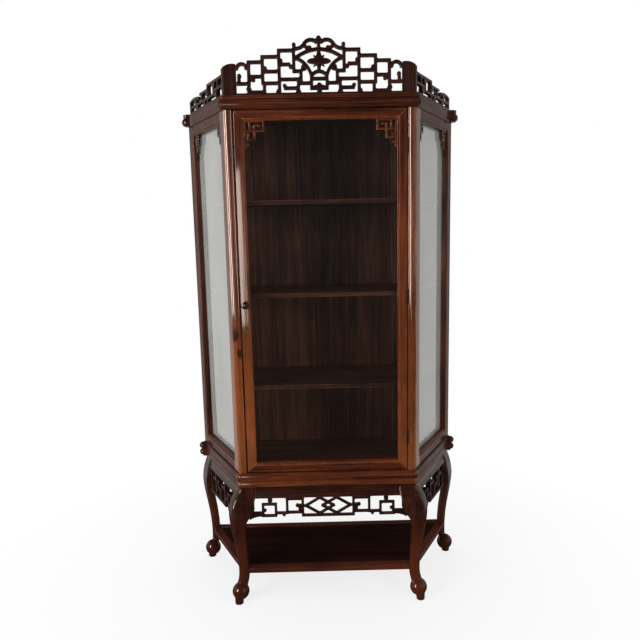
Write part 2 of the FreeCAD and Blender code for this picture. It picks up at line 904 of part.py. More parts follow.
# Places as shares of a bracket's width, from its corner along the rail, and height, down the stile
bracket_bar_shares = (
    ((0.04, -0.03), (0.96, -0.03)),
    ((0.04, -0.03), (0.04, -0.93)),
    ((0.96, -0.03), (0.96, -0.36)),
    ((0.96, -0.36), (0.52, -0.36)),
    ((0.52, -0.36), (0.52, -0.17)),
    ((0.52, -0.17), (0.74, -0.17)),
    ((0.30, -0.03), (0.30, -0.36)),
    ((0.04, -0.36), (0.30, -0.36)),
    ((0.30, -0.36), (0.52, -0.36)),
    ((0.52, -0.36), (0.52, -0.66)),
    ((0.52, -0.66), (0.22, -0.66)),
    ((0.22, -0.66), (0.22, -0.50)),
    ((0.04, -0.82), (0.22, -0.82)),
)
bracket_bud_shares = (
    ((0.74, -0.17), 0.70),
    ((0.22, -0.50), 0.70),
    ((0.06, -0.93), 0.90),
    ((0.22, -0.82), 0.60),
)


def corner_bracket(width):
    """Fret bracket for the upper left corner of an opening, corner at the origin."""
    solids = fret(width, bracket_height, bracket_bar, bracket_thickness, bracket_bar_shares, (),
                  bracket_bud_shares)
    whole = joined(solids)
    keep = block((0, 0, -bracket_height - bracket_bar), (width + bracket_bar, bracket_thickness, 0))
    return whole.common(keep)


def door_brackets():
    """Brackets in both upper corners of the door, against its inner edges."""
    piece = corner_bracket(bracket_width)
    high = door_top - door_frame_width
    piece.translate(FreeCAD.Vector(door_left + door_frame_width, bracket_setback, high))
    other = mirrored(corner_bracket(bracket_width))
    other.translate(FreeCAD.Vector(door_right - door_frame_width, bracket_setback, high))
    return Part.makeCompound([piece, other])


def side_brackets():
    """Brackets in the upper corners of both side panes."""
    back = corner_bracket(side_bracket_width)
    setback = side_lip_step + bracket_setback
    back.translate(FreeCAD.Vector(back_post_side_face, setback, side_glass_high))
    front = mirrored(corner_bracket(side_bracket_width))
    front.translate(FreeCAD.Vector(side_length - post_side_face, setback, side_glass_high))
    left = [place_left(back), place_left(front)]
    return Part.makeCompound(left + [mirrored(piece) for piece in left])


# Back and shelves

def back_boards():
    """Upright half-lapped boards in the posts' rebates, between the rails above and below."""
    half = back_opening_half() - back_board_gap
    board = (2 * half - (back_board_count - 1) * back_board_gap) / back_board_count
    low = case_bottom_height + back_board_gap
    high = cornice_bottom_height - back_board_gap
    front = case_depth - back_board_thickness
    middle = case_depth - back_board_thickness / 2
    solids = []
    for index in range(back_board_count):
        left = -half + index * (board + back_board_gap)
        near = left + (back_board_lap if index > 0 else 0)
        far = left + board + (back_board_lap if index < back_board_count - 1 else 0)
        inner = block((left, front, low), (left + board, middle, high))
        solids.append(joined([inner, block((near, middle, low), (far, case_depth, high))]))
    return Part.makeCompound(solids)


def clipped(points, place, normal):
    """The part of a convex plan outline that lies on the normal's side of a line."""
    kept = []
    count = len(points)
    for index, point in enumerate(points):
        after = points[(index + 1) % count]
        here = (point[0] - place[0]) * normal[0] + (point[1] - place[1]) * normal[1]
        there = (after[0] - place[0]) * normal[0] + (after[1] - place[1]) * normal[1]
        if here >= 0:
            kept.append(point)
        if here * there < 0:
            share = here / (here - there)
            kept.append((point[0] + (after[0] - point[0]) * share, point[1] + (after[1] - point[1]) * share))
    return kept


def inner_edge(start, end):
    """Middle and inward normal of a post's inner face in plan."""
    run = (end[0] - start[0], end[1] - start[1])
    length = math.hypot(*run)
    return ((start[0] + end[0]) / 2, (start[1] + end[1]) / 2), (-run[1] / length, run[0] / length)


def front_post_inside():
    """Ends of the front left post's inner face, the back one first."""
    return left_point(post_side_face, frame_thickness), (-half_opening, frame_thickness)


def back_post_inside():
    """Ends of the back left post's inner face, the back one first."""
    end = (-half_back + back_post_back_face, case_depth)
    start = left_point(side_length - back_post_side_face, frame_thickness)
    share = back_board_thickness / (end[1] - start[1])
    cut = (end[0] + (start[0] - end[0]) * share, end[1] + (start[1] - end[1]) * share)
    return cut, start


def shelf_points():
    """Plan outline of a shelf, clear of the panes, posts and boards."""
    side_gap = frame_thickness + shelf_clearance
    back = case_depth - back_board_thickness - shelf_clearance
    narrow = half_width(shelf_setback, -side_gap)
    wide = half_width(back, -side_gap)
    points = [(-narrow, shelf_setback), (narrow, shelf_setback), (wide, back), (-wide, back)]
    for start, end in (front_post_inside(), back_post_inside()):
        middle, normal = inner_edge(start, end)
        for side in (1, -1):
            place = (side * (middle[0] + normal[0] * shelf_clearance),
                     middle[1] + normal[1] * shelf_clearance)
            points = clipped(points, place, (side * normal[0], normal[1]))
    return points


def shelves():
    """The three shelves."""
    return Part.makeCompound([prism(height - shelf_thickness, height, *shelf_points())
                              for height in shelf_heights])


def support(start, end, top):
    """Block under a shelf, against a post's inner face."""
    middle, normal = inner_edge(start, end)
    run = (end[0] - middle[0], end[1] - middle[1])
    length = math.hypot(*run)
    share = min(1.0, support_depth / length)
    first = (middle[0] - run[0] * share, middle[1] - run[1] * share)
    last = (middle[0] + run[0] * share, middle[1] + run[1] * share)
    depth = (normal[0] * support_depth, normal[1] * support_depth)
    return prism(top - support_height, top, first, last, (last[0] + depth[0], last[1] + depth[1]),
                 (first[0] + depth[0], first[1] + depth[1]))


def shelf_supports():
    """Four blocks under each shelf."""
    solids = []
    for height in shelf_heights:
        for start, end in (front_post_inside(), back_post_inside()):
            piece = support(start, end, height - shelf_thickness)
            solids += [piece, mirrored(piece)]
    return Part.makeCompound(solids)


# Door

def door_rebate():
    """Space behind the door frame's lip."""
    edge = door_frame_width - door_lip
    return block((door_left + edge, door_glass_recess, door_bottom + edge),
                 (door_right - edge, door_thickness + joint_overrun, door_top - edge))


def door_lip_cut():
    """Step in the door's face along the glass."""
    edge = door_frame_width - door_lip
    return block((door_left + edge, -joint_overrun, door_bottom + edge),
                 (door_right - edge, door_lip_step, door_top - edge))


def door_member(*steps):
    """Mitred member of the door frame with its rebate and step."""
    return slab(0, door_thickness, *steps).cut(door_rebate()).cut(door_lip_cut())


def door_stile_left():
    """Lock stile with its mortise, bolt way, keyhole and knob hole."""
    edge = door_frame_width
    stile = door_member((door_left, door_bottom), (door_left + edge, door_bottom + edge),
                        (door_left + edge, door_top - edge), (door_left, door_top))
    return stile.cut(lock_block(0)).cut(keyhole()).cut(knob_hole())


def door_stile_right():
    """Hinge stile with its pockets and screw holes."""
    edge = door_frame_width
    stile = door_member((door_right, door_bottom), (door_right, door_top),
                        (door_right - edge, door_top - edge), (door_right - edge, door_bottom + edge))
    return stile.cut(hinge_pockets()).cut(screw_holes(-1))


def door_rail_bottom():
    edge = door_frame_width
    return door_member((door_left, door_bottom), (door_right, door_bottom),
                       (door_right - edge, door_bottom + edge), (door_left + edge, door_bottom + edge))


def door_rail_top():
    edge = door_frame_width
    return door_member((door_left, door_top), (door_left + edge, door_top - edge),
                       (door_right - edge, door_top - edge), (door_right, door_top))


def door_glass():
    edge = door_frame_width - door_lip + glass_clearance
    return block((door_left + edge, door_glass_recess, door_bottom + edge),
                 (door_right - edge, door_glass_recess + glass_thickness, door_top - edge))


def door_beads():
    edge = door_frame_width
    strips = bead_ring(door_left + edge, door_right - edge, door_bottom + edge, door_top - edge, door_lip,
                       door_glass_recess + glass_thickness, door_thickness)
    return Part.makeCompound(strips)


def keyhole():
    """Round hole with a slot under it, into the lock."""
    depth = lock_front_wall
    hole = round_bar(keyhole_radius, (stile_middle, 0, keyhole_height), (0, 1, 0), depth)
    slot = block((stile_middle - keyhole_slot_width / 2, 0, keyhole_height - keyhole_slot_length),
                 (stile_middle + keyhole_slot_width / 2, depth, keyhole_height))
    return hole.fuse(slot)


def knob_hole():
    return round_bar(knob_tenon_radius + knob_tenon_play, (stile_middle, 0, knob_height), (0, 1, 0),
                     knob_tenon_length)


# Knob profile: distance along it in shares of knob_reach, radius in shares of knob_radius
knob_rim_shares = ((0.62, 0.80), (0.78, 1.0), (0.92, 0.78))


def reach_of_rim_end():
    return knob_rim_shares[-1][0] * knob_reach


def radius_of_rim_end():
    return knob_rim_shares[-1][1] * knob_radius


def door_knob():
    """Turned knob with a tenon into the stile and a domed end."""
    def at(reach, radius):
        return FreeCAD.Vector(stile_middle + radius, -reach, knob_height)
    rim = [at(reach * knob_reach, radius * knob_radius) for reach, radius in knob_rim_shares]
    base = at(0, knob_base_radius)
    neck = at(knob_reach * knob_neck_share, knob_neck_radius)
    rise = knob_reach - reach_of_rim_end()
    sphere = (rise ** 2 + radius_of_rim_end() ** 2) / (2 * rise)
    half_angle = math.asin(radius_of_rim_end() / sphere) / 2
    crown = at(knob_reach - sphere + sphere * math.cos(half_angle), sphere * math.sin(half_angle))
    edges = [
        Part.LineSegment(at(-knob_tenon_length, 0), at(-knob_tenon_length, knob_tenon_radius)),
        Part.LineSegment(at(-knob_tenon_length, knob_tenon_radius), at(0, knob_tenon_radius)),
        Part.LineSegment(at(0, knob_tenon_radius), base),
        Part.Arc(base, neck, rim[0]),
        Part.Arc(rim[0], rim[1], rim[2]),
        Part.Arc(rim[2], crown, at(knob_reach, 0)),
        Part.LineSegment(at(knob_reach, 0), at(-knob_tenon_length, 0)),
    ]
    face = Part.Face(Part.Wire([edge.toShape() for edge in edges]))
    return face.revolve(FreeCAD.Vector(stile_middle, 0, knob_height), FreeCAD.Vector(0, 1, 0), 360)


def lock_block(play):
    """Outer shape of the lock in the stile's edge."""
    bottom = keyhole_height - lock_height / 2
    return block((door_left + play, lock_front_wall, bottom),
                 (door_left + lock_width, lock_front_wall + lock_thickness, bottom + lock_height))


def bolt_place(play):
    """Low and high corners of the bolt in y and z, with play round it."""
    middle = lock_front_wall + lock_thickness / 2
    height = keyhole_height - bolt_drop
    return ((middle - bolt_thickness / 2 - play, height - bolt_height / 2 - play),
            (middle + bolt_thickness / 2 + play, height + bolt_height / 2 + play))


def lock_case():
    """Lock case with the bolt's way in its edge."""
    (y0, z0), (y1, z1) = bolt_place(bolt_play)
    way = block((door_left, y0, z0), (door_left + bolt_length + bolt_play, y1, z1))
    return lock_block(0).cut(way)


def lock_bolt():
    (y0, z0), (y1, z1) = bolt_place(0)
    return block((door_left, y0, z0), (door_left + bolt_length, y1, z1))


def bolt_mortise():
    """Pocket for the thrown bolt in the left front post."""
    (y0, z0), (y1, z1) = bolt_place(2 * bolt_play)
    depth = bolt_throw - lock_gap + joint_overrun
    return block((-half_opening - depth, y0, z0), (-half_opening, y1, z1))


# Hinges

def hinge_pockets():
    """Room for the knuckles in the edges of post and stile."""
    solids = []
    for height in hinge_heights:
        start = (hinge_x, hinge_y, height - hinge_length / 2 - knuckle_clearance)
        solids.append(round_bar(knuckle_radius + knuckle_clearance, start, (0, 0, 1),
                                hinge_length + 2 * knuckle_clearance))
    return Part.makeCompound(solids)


def screw_places():
    """Height of each hinge screw, and the depth at which they stand."""
    depth = (leaf_setback + leaf_depth) / 2
    heights = []
    for height in hinge_heights:
        heights += [height - screw_spacing / 2, height + screw_spacing / 2]
    return depth, heights


def screw_holes(side):
    """Pilot holes behind a leaf: side 1 in the post, side -1 in the stile."""
    face = half_opening if side > 0 else door_right
    depth, heights = screw_places()
    return Part.makeCompound([round_bar(screw_radius + screw_play, (face, depth, height), (side, 0, 0),
                                        screw_length + screw_play) for height in heights])


def hinge_screws(side):
    """Two screws through each leaf."""
    face = half_opening if side > 0 else door_right
    depth, heights = screw_places()
    solids = []
    for height in heights:
        head = round_bar(screw_head_radius, (face, depth, height), (-side, 0, 0), screw_head_height)
        shank = round_bar(screw_radius, (face, depth, height), (side, 0, 0), screw_length)
        solids.append(joined([head, shank]))
    return Part.makeCompound(solids)


def hinge_leaf(side, knuckles, height):
    """Leaf with its knuckles: side 1 lies on the post, side -1 on the stile."""
    face = half_opening if side > 0 else door_right
    near, far = sorted((face, face - side * leaf_thickness))
    low = height - hinge_length / 2
    plate = block((near, leaf_setback, low), (far, leaf_setback + leaf_depth, low + hinge_length))
    depth, _ = screw_places()
    for shift in (-screw_spacing / 2, screw_spacing / 2):
        plate = plate.cut(round_bar(screw_head_radius + screw_play, (near, depth, height + shift), (1, 0, 0),
                                    leaf_thickness))
    solids = [plate]
    for low_share, high_share in knuckles:
        start = low + low_share * hinge_length + (knuckle_gap / 2 if low_share > 0 else 0)
        end = low + high_share * hinge_length - (knuckle_gap / 2 if high_share < 1 else 0)
        solids.append(block((near, 0, start), (far, leaf_setback, end)))
        solids.append(round_bar(knuckle_radius, (hinge_x, hinge_y, start), (0, 0, 1), end - start))
    bore = round_bar(hinge_pin_radius + hinge_pin_play, (hinge_x, hinge_y, low), (0, 0, 1), hinge_length)
    return joined(solids).cut(bore)


knuckle_post_shares = ((0.0, 0.34), (0.66, 1.0))
knuckle_door_shares = ((0.34, 0.66),)


def hinge_leaves(side, knuckles):
    return Part.makeCompound([hinge_leaf(side, knuckles, height) for height in hinge_heights])


def hinge_pins():
    return Part.makeCompound([round_bar(hinge_pin_radius, (hinge_x, hinge_y, height - hinge_length / 2),
                                        (0, 0, 1), hinge_length) for height in hinge_heights])


# Gallery

# Half pattern of the front gallery: places as shares of the half span and of the gallery's height
gallery_bar_shares = (
    ((1.00, 0.214), (0.846, 0.214)),
    ((0.846, 0.214), (0.846, 0.572)),
    ((0.852, 0.05), (0.848, 0.214)),
    ((0.846, 0.572), (0.68, 0.572)),
    ((0.846, 0.332), (0.68, 0.332)),
    ((0.68, 0.215), (0.68, 0.658)),
    ((0.662, 0.05), (0.662, 0.215)),
    ((0.85, 0.068), (0.662, 0.068)),
    ((0.68, 0.658), (0.48, 0.658)),
    ((0.68, 0.413), (0.48, 0.413)),
    ((0.68, 0.215), (0.48, 0.215)),
    ((0.48, 0.05), (0.48, 0.76)),
    ((0.48, 0.76), (0.302, 0.76)),
    ((0.48, 0.527), (0.362, 0.527)),
    ((0.302, 0.412), (0.302, 0.76)),
    ((0.302, 0.412), (0.218, 0.412)),
    ((0.218, 0.277), (0.218, 0.412)),
    ((0.48, 0.277), (0.218, 0.277)),
    ((0.252, 0.05), (0.252, 0.277)),
    ((0.252, 0.208), (0.094, 0.208)),
    ((0.41, 0.128), (0.252, 0.128)),
    ((0.094, 0.122), (0.094, 0.331)),
    ((0.094, 0.122), (0.0, 0.122)),
    ((0.094, 0.282), (0.0, 0.282)),
    ((0.0, 0.05), (0.0, 0.122)),
    ((0.0, 0.776), (0.0, 0.926)),
    ((0.965, 0.214), (0.965, 0.331)),
    ((0.296, 0.786), (0.296, 0.841)),
)
gallery_ribbon_shares = (
    ((0.992, 0.441), (0.935, 0.546), (0.87, 0.481)),
    ((0.280, 0.631), (0.165, 0.526), (0.094, 0.331)),
    ((0.280, 0.631), (0.150, 0.734), (0.0, 0.776)),
    ((0.094, 0.331), (0.050, 0.386), (0.0, 0.406)),
    ((0.296, 0.791), (0.220, 0.806), (0.171, 0.876)),
    ((0.171, 0.876), (0.100, 0.931), (0.022, 0.881)),
    ((0.171, 0.876), (0.160, 0.821), (0.113, 0.794)),
)
gallery_bud_shares = (
    ((0.875, 0.481), 0.62),
    ((0.960, 0.346), 0.62),
    ((0.795, 0.276), 0.62),
    ((0.850, 0.116), 0.80),
    ((0.648, 0.466), 0.62),
    ((0.458, 0.591), 0.60),
    ((0.340, 0.486), 0.62),
    ((0.418, 0.166), 0.62),
    ((0.182, 0.471), 0.90),
    ((0.252, 0.061), 0.80),
    ((0.495, 0.071), 0.70),
    ((0.045, 0.151), 0.45),
    ((0.0, 0.171), 0.75),
    ((0.0, 0.073), 0.75),
    ((0.110, 0.801), 0.60),
    ((0.296, 0.851), 0.62),
    ((0.0, 0.581), 1.00),
)
gallery_leaf_shares = (
    ((0.0, 0.581), (0.148, 0.571), 1.60),
    ((0.0, 0.581), (0.0, 0.761), 1.50),
    ((0.0, 0.581), (0.0, 0.401), 1.30),
    ((0.0, 0.581), (0.072, 0.681), 0.60),
    ((0.0, 0.581), (0.072, 0.476), 0.60),
    ((0.0, 0.866), (0.0, 1.0), 1.70),
    ((0.218, 0.412), (0.165, 0.516), 0.80),
)


def gallery_span():
    """Half the width between the gallery's corner boards."""
    return front_corner(-gallery_inset, 1)[0] - gallery_post_width


def gallery_front():
    """Stepped fret over the door, with the fan and the bud in its middle."""
    span = gallery_span()
    solids = both_sides(fret(span, gallery_height, gallery_bar, gallery_thickness, gallery_bar_shares,
                             gallery_ribbon_shares, gallery_bud_shares, gallery_leaf_shares))
    strip = block((-span, 0, 0), (span, gallery_thickness, gallery_strip))
    whole = joined([strip] + solids)
    keep = block((-span, 0, 0), (span, gallery_thickness, gallery_height))
    whole = whole.common(keep)
    whole.translate(FreeCAD.Vector(0, gallery_inset, cornice_top_height))
    return whole


def gallery_posts():
    """Shaped boards at the gallery's front corners."""
    span = gallery_span()
    outer = span + gallery_post_width
    low = gallery_post_height - gallery_post_drop
    middle = (span + gallery_post_width * gallery_post_bend_share,
              gallery_post_height - gallery_post_drop * gallery_post_bend_drop_share)
    inner = (span, gallery_post_height - gallery_post_drop * gallery_post_inner_drop_share)
    board = slab(gallery_inset, gallery_inset + gallery_thickness, (span, 0), (outer, 0), (outer, low),
                 (middle, inner))
    board.translate(FreeCAD.Vector(0, 0, cornice_top_height))
    zone = front_zone(cornice_top_height, cornice_top_height + gallery_post_height, -gallery_inset,
                      gallery_inset + gallery_thickness)
    right = board.common(zone)
    return Part.makeCompound([mirrored(right), right])


# Side gallery: places as shares of the side's length, from its front end, and of its height
side_gallery_end_share = 0.955
side_gallery_bar_shares = (
    ((0.02, 0.75), (0.43, 0.75)),
    ((0.43, 0.05), (0.43, 0.75)),
    ((0.43, 0.60), (0.645, 0.60)),
    ((0.60, 0.28), (0.60, 0.60)),
    ((0.20, 0.28), (side_gallery_end_share, 0.28)),
    ((0.045, 0.42), (0.27, 0.42)),
    ((0.27, 0.28), (0.27, 0.75)),
    ((0.15, 0.42), (0.15, 0.75)),
    ((0.19, 0.05), (0.19, 0.42)),
    ((0.54, 0.05), (0.54, 0.28)),
    ((0.74, 0.05), (0.74, 0.28)),
    ((0.77, 0.28), (0.77, 0.55)),
    ((side_gallery_end_share, 0.05), (side_gallery_end_share, 0.50)),
)
side_gallery_ribbon_shares = (
    ((side_gallery_end_share, 0.50), (0.85, 0.565), (0.71, 0.52)),
)
side_gallery_bud_shares = (
    ((0.215, 0.22), 0.70),
    ((0.245, 0.60), 0.70),
    ((0.455, 0.44), 0.70),
    ((0.705, 0.49), 0.80),
    ((0.515, 0.16), 0.70),
    ((0.765, 0.16), 0.70),
    ((0.795, 0.42), 0.70),
)


def gallery_left():
    """Lower fret that steps down along the left canted side."""
    solids = fret(-side_length, side_gallery_height, side_gallery_bar, gallery_thickness,
                  side_gallery_bar_shares, side_gallery_ribbon_shares, side_gallery_bud_shares)
    stile = block((-side_gallery_stile, 0, 0), (side_length, gallery_thickness, side_gallery_height))
    strip = block((-side_length, 0, 0), (0, gallery_thickness, gallery_strip))
    end = -side_length * side_gallery_end_share - side_gallery_bar / 2
    keep = block((end, 0, 0), (side_length, gallery_thickness, side_gallery_height))
    whole = joined([strip, stile] + solids).common(keep)
    whole.translate(FreeCAD.Vector(side_length, gallery_inset, cornice_top_height))
    zone = left_zone(cornice_top_height, cornice_top_height + side_gallery_height, -gallery_inset,
                     gallery_inset + gallery_thickness)
    return largest(place_left(whole).common(zone))


# Writing the pieces

def write(name, shape):
    """Move a piece to the model's origin and write its file."""
    shape = shape.copy()
    shape.translate(FreeCAD.Vector(0, -origin_depth, 0))
    shape.exportStep(os.path.join("parts", name + ".step"))


def write_pair(name, left_shape):
    """Write a left piece and its mirror image."""
    write(name + "_left", left_shape)
    write(name + "_right", mirrored(left_shape))


def write_stand():
    legs = (front_leg(), back_leg())
    write_pair("leg_front", legs[0])
    write_pair("leg_back", legs[1])
    write("stand_rail_front", front_stand_rail(legs))
    write_pair("stand_rail", left_stand_rail(legs))
    write("stand_rail_back", back_stand_rail(legs))
    write("apron_front", apron_front(legs))
    write_pair("apron", apron_left(legs))
    write("lower_shelf_rail_front", lower_shelf_front_rail(legs))
    write_pair("lower_shelf_rail", lower_shelf_left_rail(legs))
    write("lower_shelf_rail_back", lower_shelf_back_rail(legs))
    write("lower_shelf_panel", lower_shelf_panel())


def write_case():
    waist_front = turned_moulding(waist_face(), half_front - waist_end_inset, 0)
    waist_back = back_moulding(waist_face(), waist_reach)
    write("waist_moulding_front", waist_front)
    write("waist_moulding_back", waist_back)
    write_pair("waist_moulding", side_board(waist_side_face(), waist_front, waist_back))
    floor_top = case_bottom_height - case_floor_drop
    write("case_floor", case_panel(floor_top - panel_thickness, floor_top))
    write("post_front_left", post_front_left())
    write("post_front_right", post_front_right())
    write_pair("post_back", post_back_left())
    write_pair("side_rail_bottom", side_rail(case_bottom_height, side_glass_low))
    write_pair("side_rail_top", side_rail(side_glass_high, cornice_bottom_height))
    write_pair("side_glass", side_glass())
    write("side_glazing_beads", side_beads())
    write("side_brackets", side_brackets())
    write("back_boards", back_boards())
    write("shelves", shelves())
    write("shelf_supports", shelf_supports())
    write("case_top", case_panel(cornice_bottom_height, cornice_bottom_height + panel_thickness))


def write_crown():
    cornice_front = turned_moulding(cornice_face(), half_front - cornice_end_inset, 0)
    cornice_back = back_moulding(cornice_face(), cornice_reach)
    write("cornice_front", cornice_front)
    write("cornice_back", cornice_back)
    write_pair("cornice", side_board(cornice_side_face(), cornice_front, cornice_back))
    write("gallery_posts", gallery_posts())
    write("gallery_front", gallery_front())
    write_pair("gallery", gallery_left())


def write_door():
    write("door_stile_left", door_stile_left())
    write("door_stile_right", door_stile_right())
    write("door_rail_bottom", door_rail_bottom())
    write("door_rail_top", door_rail_top())
    write("door_glass", door_glass())
    write("door_glazing_beads", door_beads())
    write("door_brackets", door_brackets())
    write("door_knob", door_knob())
    write("lock_case", lock_case())
    write("lock_bolt", lock_bolt())
    write("hinge_leaves_post", hinge_leaves(1, knuckle_post_shares))
    write("hinge_leaves_door", hinge_leaves(-1, knuckle_door_shares))
    write("hinge_pins", hinge_pins())
    write("hinge_screws_post", hinge_screws(1))
    write("hinge_screws_door", hinge_screws(-1))


os.makedirs("parts", exist_ok=True)
write_stand()
write_case()
write_crown()
write_door()
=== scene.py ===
import json
import math

import bmesh
import bpy
from mathutils import Matrix, Vector

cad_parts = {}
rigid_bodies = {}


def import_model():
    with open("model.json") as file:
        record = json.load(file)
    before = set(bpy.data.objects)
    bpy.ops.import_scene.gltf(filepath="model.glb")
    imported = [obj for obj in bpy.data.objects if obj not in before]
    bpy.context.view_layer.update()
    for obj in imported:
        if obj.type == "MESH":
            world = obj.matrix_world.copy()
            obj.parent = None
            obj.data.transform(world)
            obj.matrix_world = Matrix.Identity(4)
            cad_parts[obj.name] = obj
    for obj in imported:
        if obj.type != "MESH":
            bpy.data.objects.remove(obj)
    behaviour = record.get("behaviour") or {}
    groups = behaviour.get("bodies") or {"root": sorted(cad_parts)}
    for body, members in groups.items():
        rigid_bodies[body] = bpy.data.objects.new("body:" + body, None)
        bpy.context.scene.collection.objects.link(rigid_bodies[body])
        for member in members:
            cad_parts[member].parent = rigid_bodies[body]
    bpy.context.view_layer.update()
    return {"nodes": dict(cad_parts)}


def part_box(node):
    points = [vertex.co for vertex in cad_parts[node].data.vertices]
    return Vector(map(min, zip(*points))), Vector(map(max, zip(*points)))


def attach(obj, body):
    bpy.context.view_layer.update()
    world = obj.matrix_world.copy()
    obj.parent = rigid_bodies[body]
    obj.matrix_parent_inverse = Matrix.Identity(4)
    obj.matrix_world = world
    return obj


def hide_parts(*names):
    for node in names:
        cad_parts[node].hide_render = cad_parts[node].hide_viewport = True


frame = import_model()

bl_info = {
    "name": "Glazed Book Cabinet",
    "version": (1, 0, 0),
    "blender": (4, 5, 0),
    "location": "3D View > Sidebar > Cabinet",
    "description": "Builds the visual pieces and finishes of a glazed hardwood cabinet on a cabriole stand",
    "category": "Add Mesh",
}


# Sizes and colours

# The case in metres: half widths in front and at the back, and its depth
FRONT_HALF, BACK_HALF, CASE_DEPTH = 0.3055, 0.485, 0.350


def length(name, text, value):
    """A size in metres."""
    return bpy.props.FloatProperty(name=name, description=text, default=value, unit="LENGTH", precision=4)


def tone(name, text, value):
    """A colour in linear light."""
    return bpy.props.FloatVectorProperty(name=name, description=text, default=value, subtype="COLOR",
                                         size=3, min=0.0, max=1.0)


class CabinetSizes(bpy.types.PropertyGroup):
    """Sizes of what is shaped here."""
    front_half: length("Half front", "Half the width of the case in front", FRONT_HALF)
    back_half: length("Half back", "Half the width of the case at the back", BACK_HALF)
    front_depth: length("Front plane", "Place of the case's front face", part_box("door_rail_top")[0].y)
    back_depth: length("Back plane", "Place of the case's back face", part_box("back_boards")[1].y)
    post_round: length("Post arris", "Round on the arrises of posts and rails", 0.0014)
    door_round: length("Door arris", "Round on the arrises of the door frame", 0.0011)
    board_round: length("Board arris", "Round on the edges of boards and shelves", 0.0022)
    fret_grain: length("Fret facet", "Size of the facets that the frets are carved with", 0.0015)
    fret_passes: bpy.props.IntProperty(name="Fret smoothing", description="Passes that round the frets",
                                       default=5, min=0)
    bracket_grain: length("Bracket facet", "Size of the facets of the corner brackets", 0.0009)
    leg_grain: length("Leg facet", "Size of the facets of the legs", 0.0022)
    leg_passes: bpy.props.IntProperty(name="Leg smoothing", description="Passes that round the legs",
                                      default=5, min=0)
    moulding_round: length("Moulding arris", "Round on the arrises of waist and cornice", 0.0012)
    knob_reach: length("Knob length", "How far the knob stands out of the door", 0.024)
    knob_radius: length("Knob radius", "Largest radius of the knob", 0.012)
    floor_size: length("Floor", "Width of the floor", 24.0)
    lens: bpy.props.FloatProperty(name="Lens", description="Focal length in millimetres", default=35.73)
    camera_place: bpy.props.FloatVectorProperty(name="Camera", description="Place of the camera",
                                                default=(0.0018, -2.2440, 1.3153), subtype="TRANSLATION")
    camera_turn: bpy.props.FloatVectorProperty(
        name="Camera turn", description="Tilt down, roll and turn to the side of the camera",
        default=(math.radians(9.105), -0.01916, -0.01076), subtype="EULER")
    camera_shift: bpy.props.FloatVectorProperty(name="Shift", description="Shift of the frame", size=2,
                                                default=(-0.01841, 0.01155))


class CabinetColours(bpy.types.PropertyGroup):
    """Colours of the finishes."""
    frame_dark: tone("Frame, dark", "Dark streaks of the frame's wood", (0.018, 0.0042, 0.0022))
    frame_mid: tone("Frame, middle", "Body of the frame's wood", (0.093, 0.0196, 0.0062))
    frame_light: tone("Frame, light", "Light streaks of the frame's wood", (0.200, 0.052, 0.0150))
    frame_warm: tone("Frame, warm", "Orange cast low on the posts", (0.250, 0.070, 0.016))
    fret_dark: tone("Fret, dark", "Dark streaks of the carved wood", (0.0090, 0.0036, 0.0028))
    fret_mid: tone("Fret, middle", "Body of the carved wood", (0.025, 0.0085, 0.0060))
    fret_light: tone("Fret, light", "Light streaks of the carved wood", (0.060, 0.020, 0.012))
    leg_dark: tone("Leg, dark", "Dark streaks of the legs", (0.0110, 0.0036, 0.0024))
    leg_mid: tone("Leg, middle", "Body of the legs' wood", (0.030, 0.0062, 0.0028))
    leg_light: tone("Leg, light", "Light streaks of the legs", (0.070, 0.0175, 0.0078))
    leg_warm: tone("Leg, warm", "Red cast down the legs", (0.095, 0.020, 0.0065))
    # Lower shelf: its wood darkened to near black, painted shade under the case
    shelf_dark: tone("Lower shelf, dark", "Dark streaks of the lower shelf", (0.0060, 0.0016, 0.0007))
    shelf_mid: tone("Lower shelf, middle", "Body of the lower shelf", (0.0165, 0.0036, 0.0012))
    shelf_light: tone("Lower shelf, light", "Light streaks of the lower shelf", (0.045, 0.0100, 0.0030))
    inner_dark: tone("Inside, dark", "Dark streaks of the inner boards", (0.012, 0.0045, 0.0030))
    inner_mid: tone("Inside, middle", "Body of the inner boards", (0.040, 0.0140, 0.0085))
    inner_light: tone("Inside, light", "Light streaks of the inner boards", (0.085, 0.030, 0.017))
    knob_dark: tone("Knob, dark", "Dark streaks of the knob", (0.010, 0.0035, 0.0035))
    knob_mid: tone("Knob, middle", "Body of the knob's wood", (0.024, 0.0060, 0.0065))
    glass: tone("Glass", "Tint of the panes", (0.90, 0.93, 0.92))
    # Pale film on the side panes: partly dusty, partly a painted reflection of pale walls
    dust_and_sheen: tone("Dust", "Film of dust on the side panes", (0.80, 0.80, 0.76))
    brass: tone("Brass", "Darkened brass of the hinges", (0.12, 0.085, 0.050))
    steel: tone("Steel", "Dull steel of pins, screws and lock", (0.30, 0.29, 0.275))
    floor: tone("Floor", "The floor", (0.86, 0.86, 0.855))
    # Painted reflection: the floor glows this dim colour to gloss round the legs
    painted_floor_reflection: tone("Floor in gloss", "What gloss shows of the floor round the legs",
                         (0.07, 0.055, 0.05))
    highlight: tone("Highlight", "Lamps that draw the highlights on the lacquer", (1.0, 0.86, 0.77))
    surroundings: tone("Surroundings", "Light from all round", (0.42, 0.42, 0.43))
    ends_in_gloss: tone("Ends in gloss", "What gloss shows in front and straight behind",
                        (0.06, 0.06, 0.06))
    sides_in_gloss: tone("Sides in gloss", "What gloss shows on both sides and further off on the floor",
                         (0.70, 0.69, 0.66))


# Node helpers

def add(tree, kind, inputs=(), **settings):
    """A node with its settings and inputs: sockets are linked, values set."""
    made = tree.nodes.new(kind)
    for key, value in settings.items():
        setattr(made, key, value)
    for key, value in dict(inputs).items():
        if isinstance(value, bpy.types.NodeSocket):
            tree.links.new(value, made.inputs[key])
        else:
            made.inputs[key].default_value = value
    return made


def blank(name):
    """A new material and its empty tree."""
    material = bpy.data.materials.new(name)
    material.use_nodes = True
    material.node_tree.nodes.clear()
    return material, material.node_tree


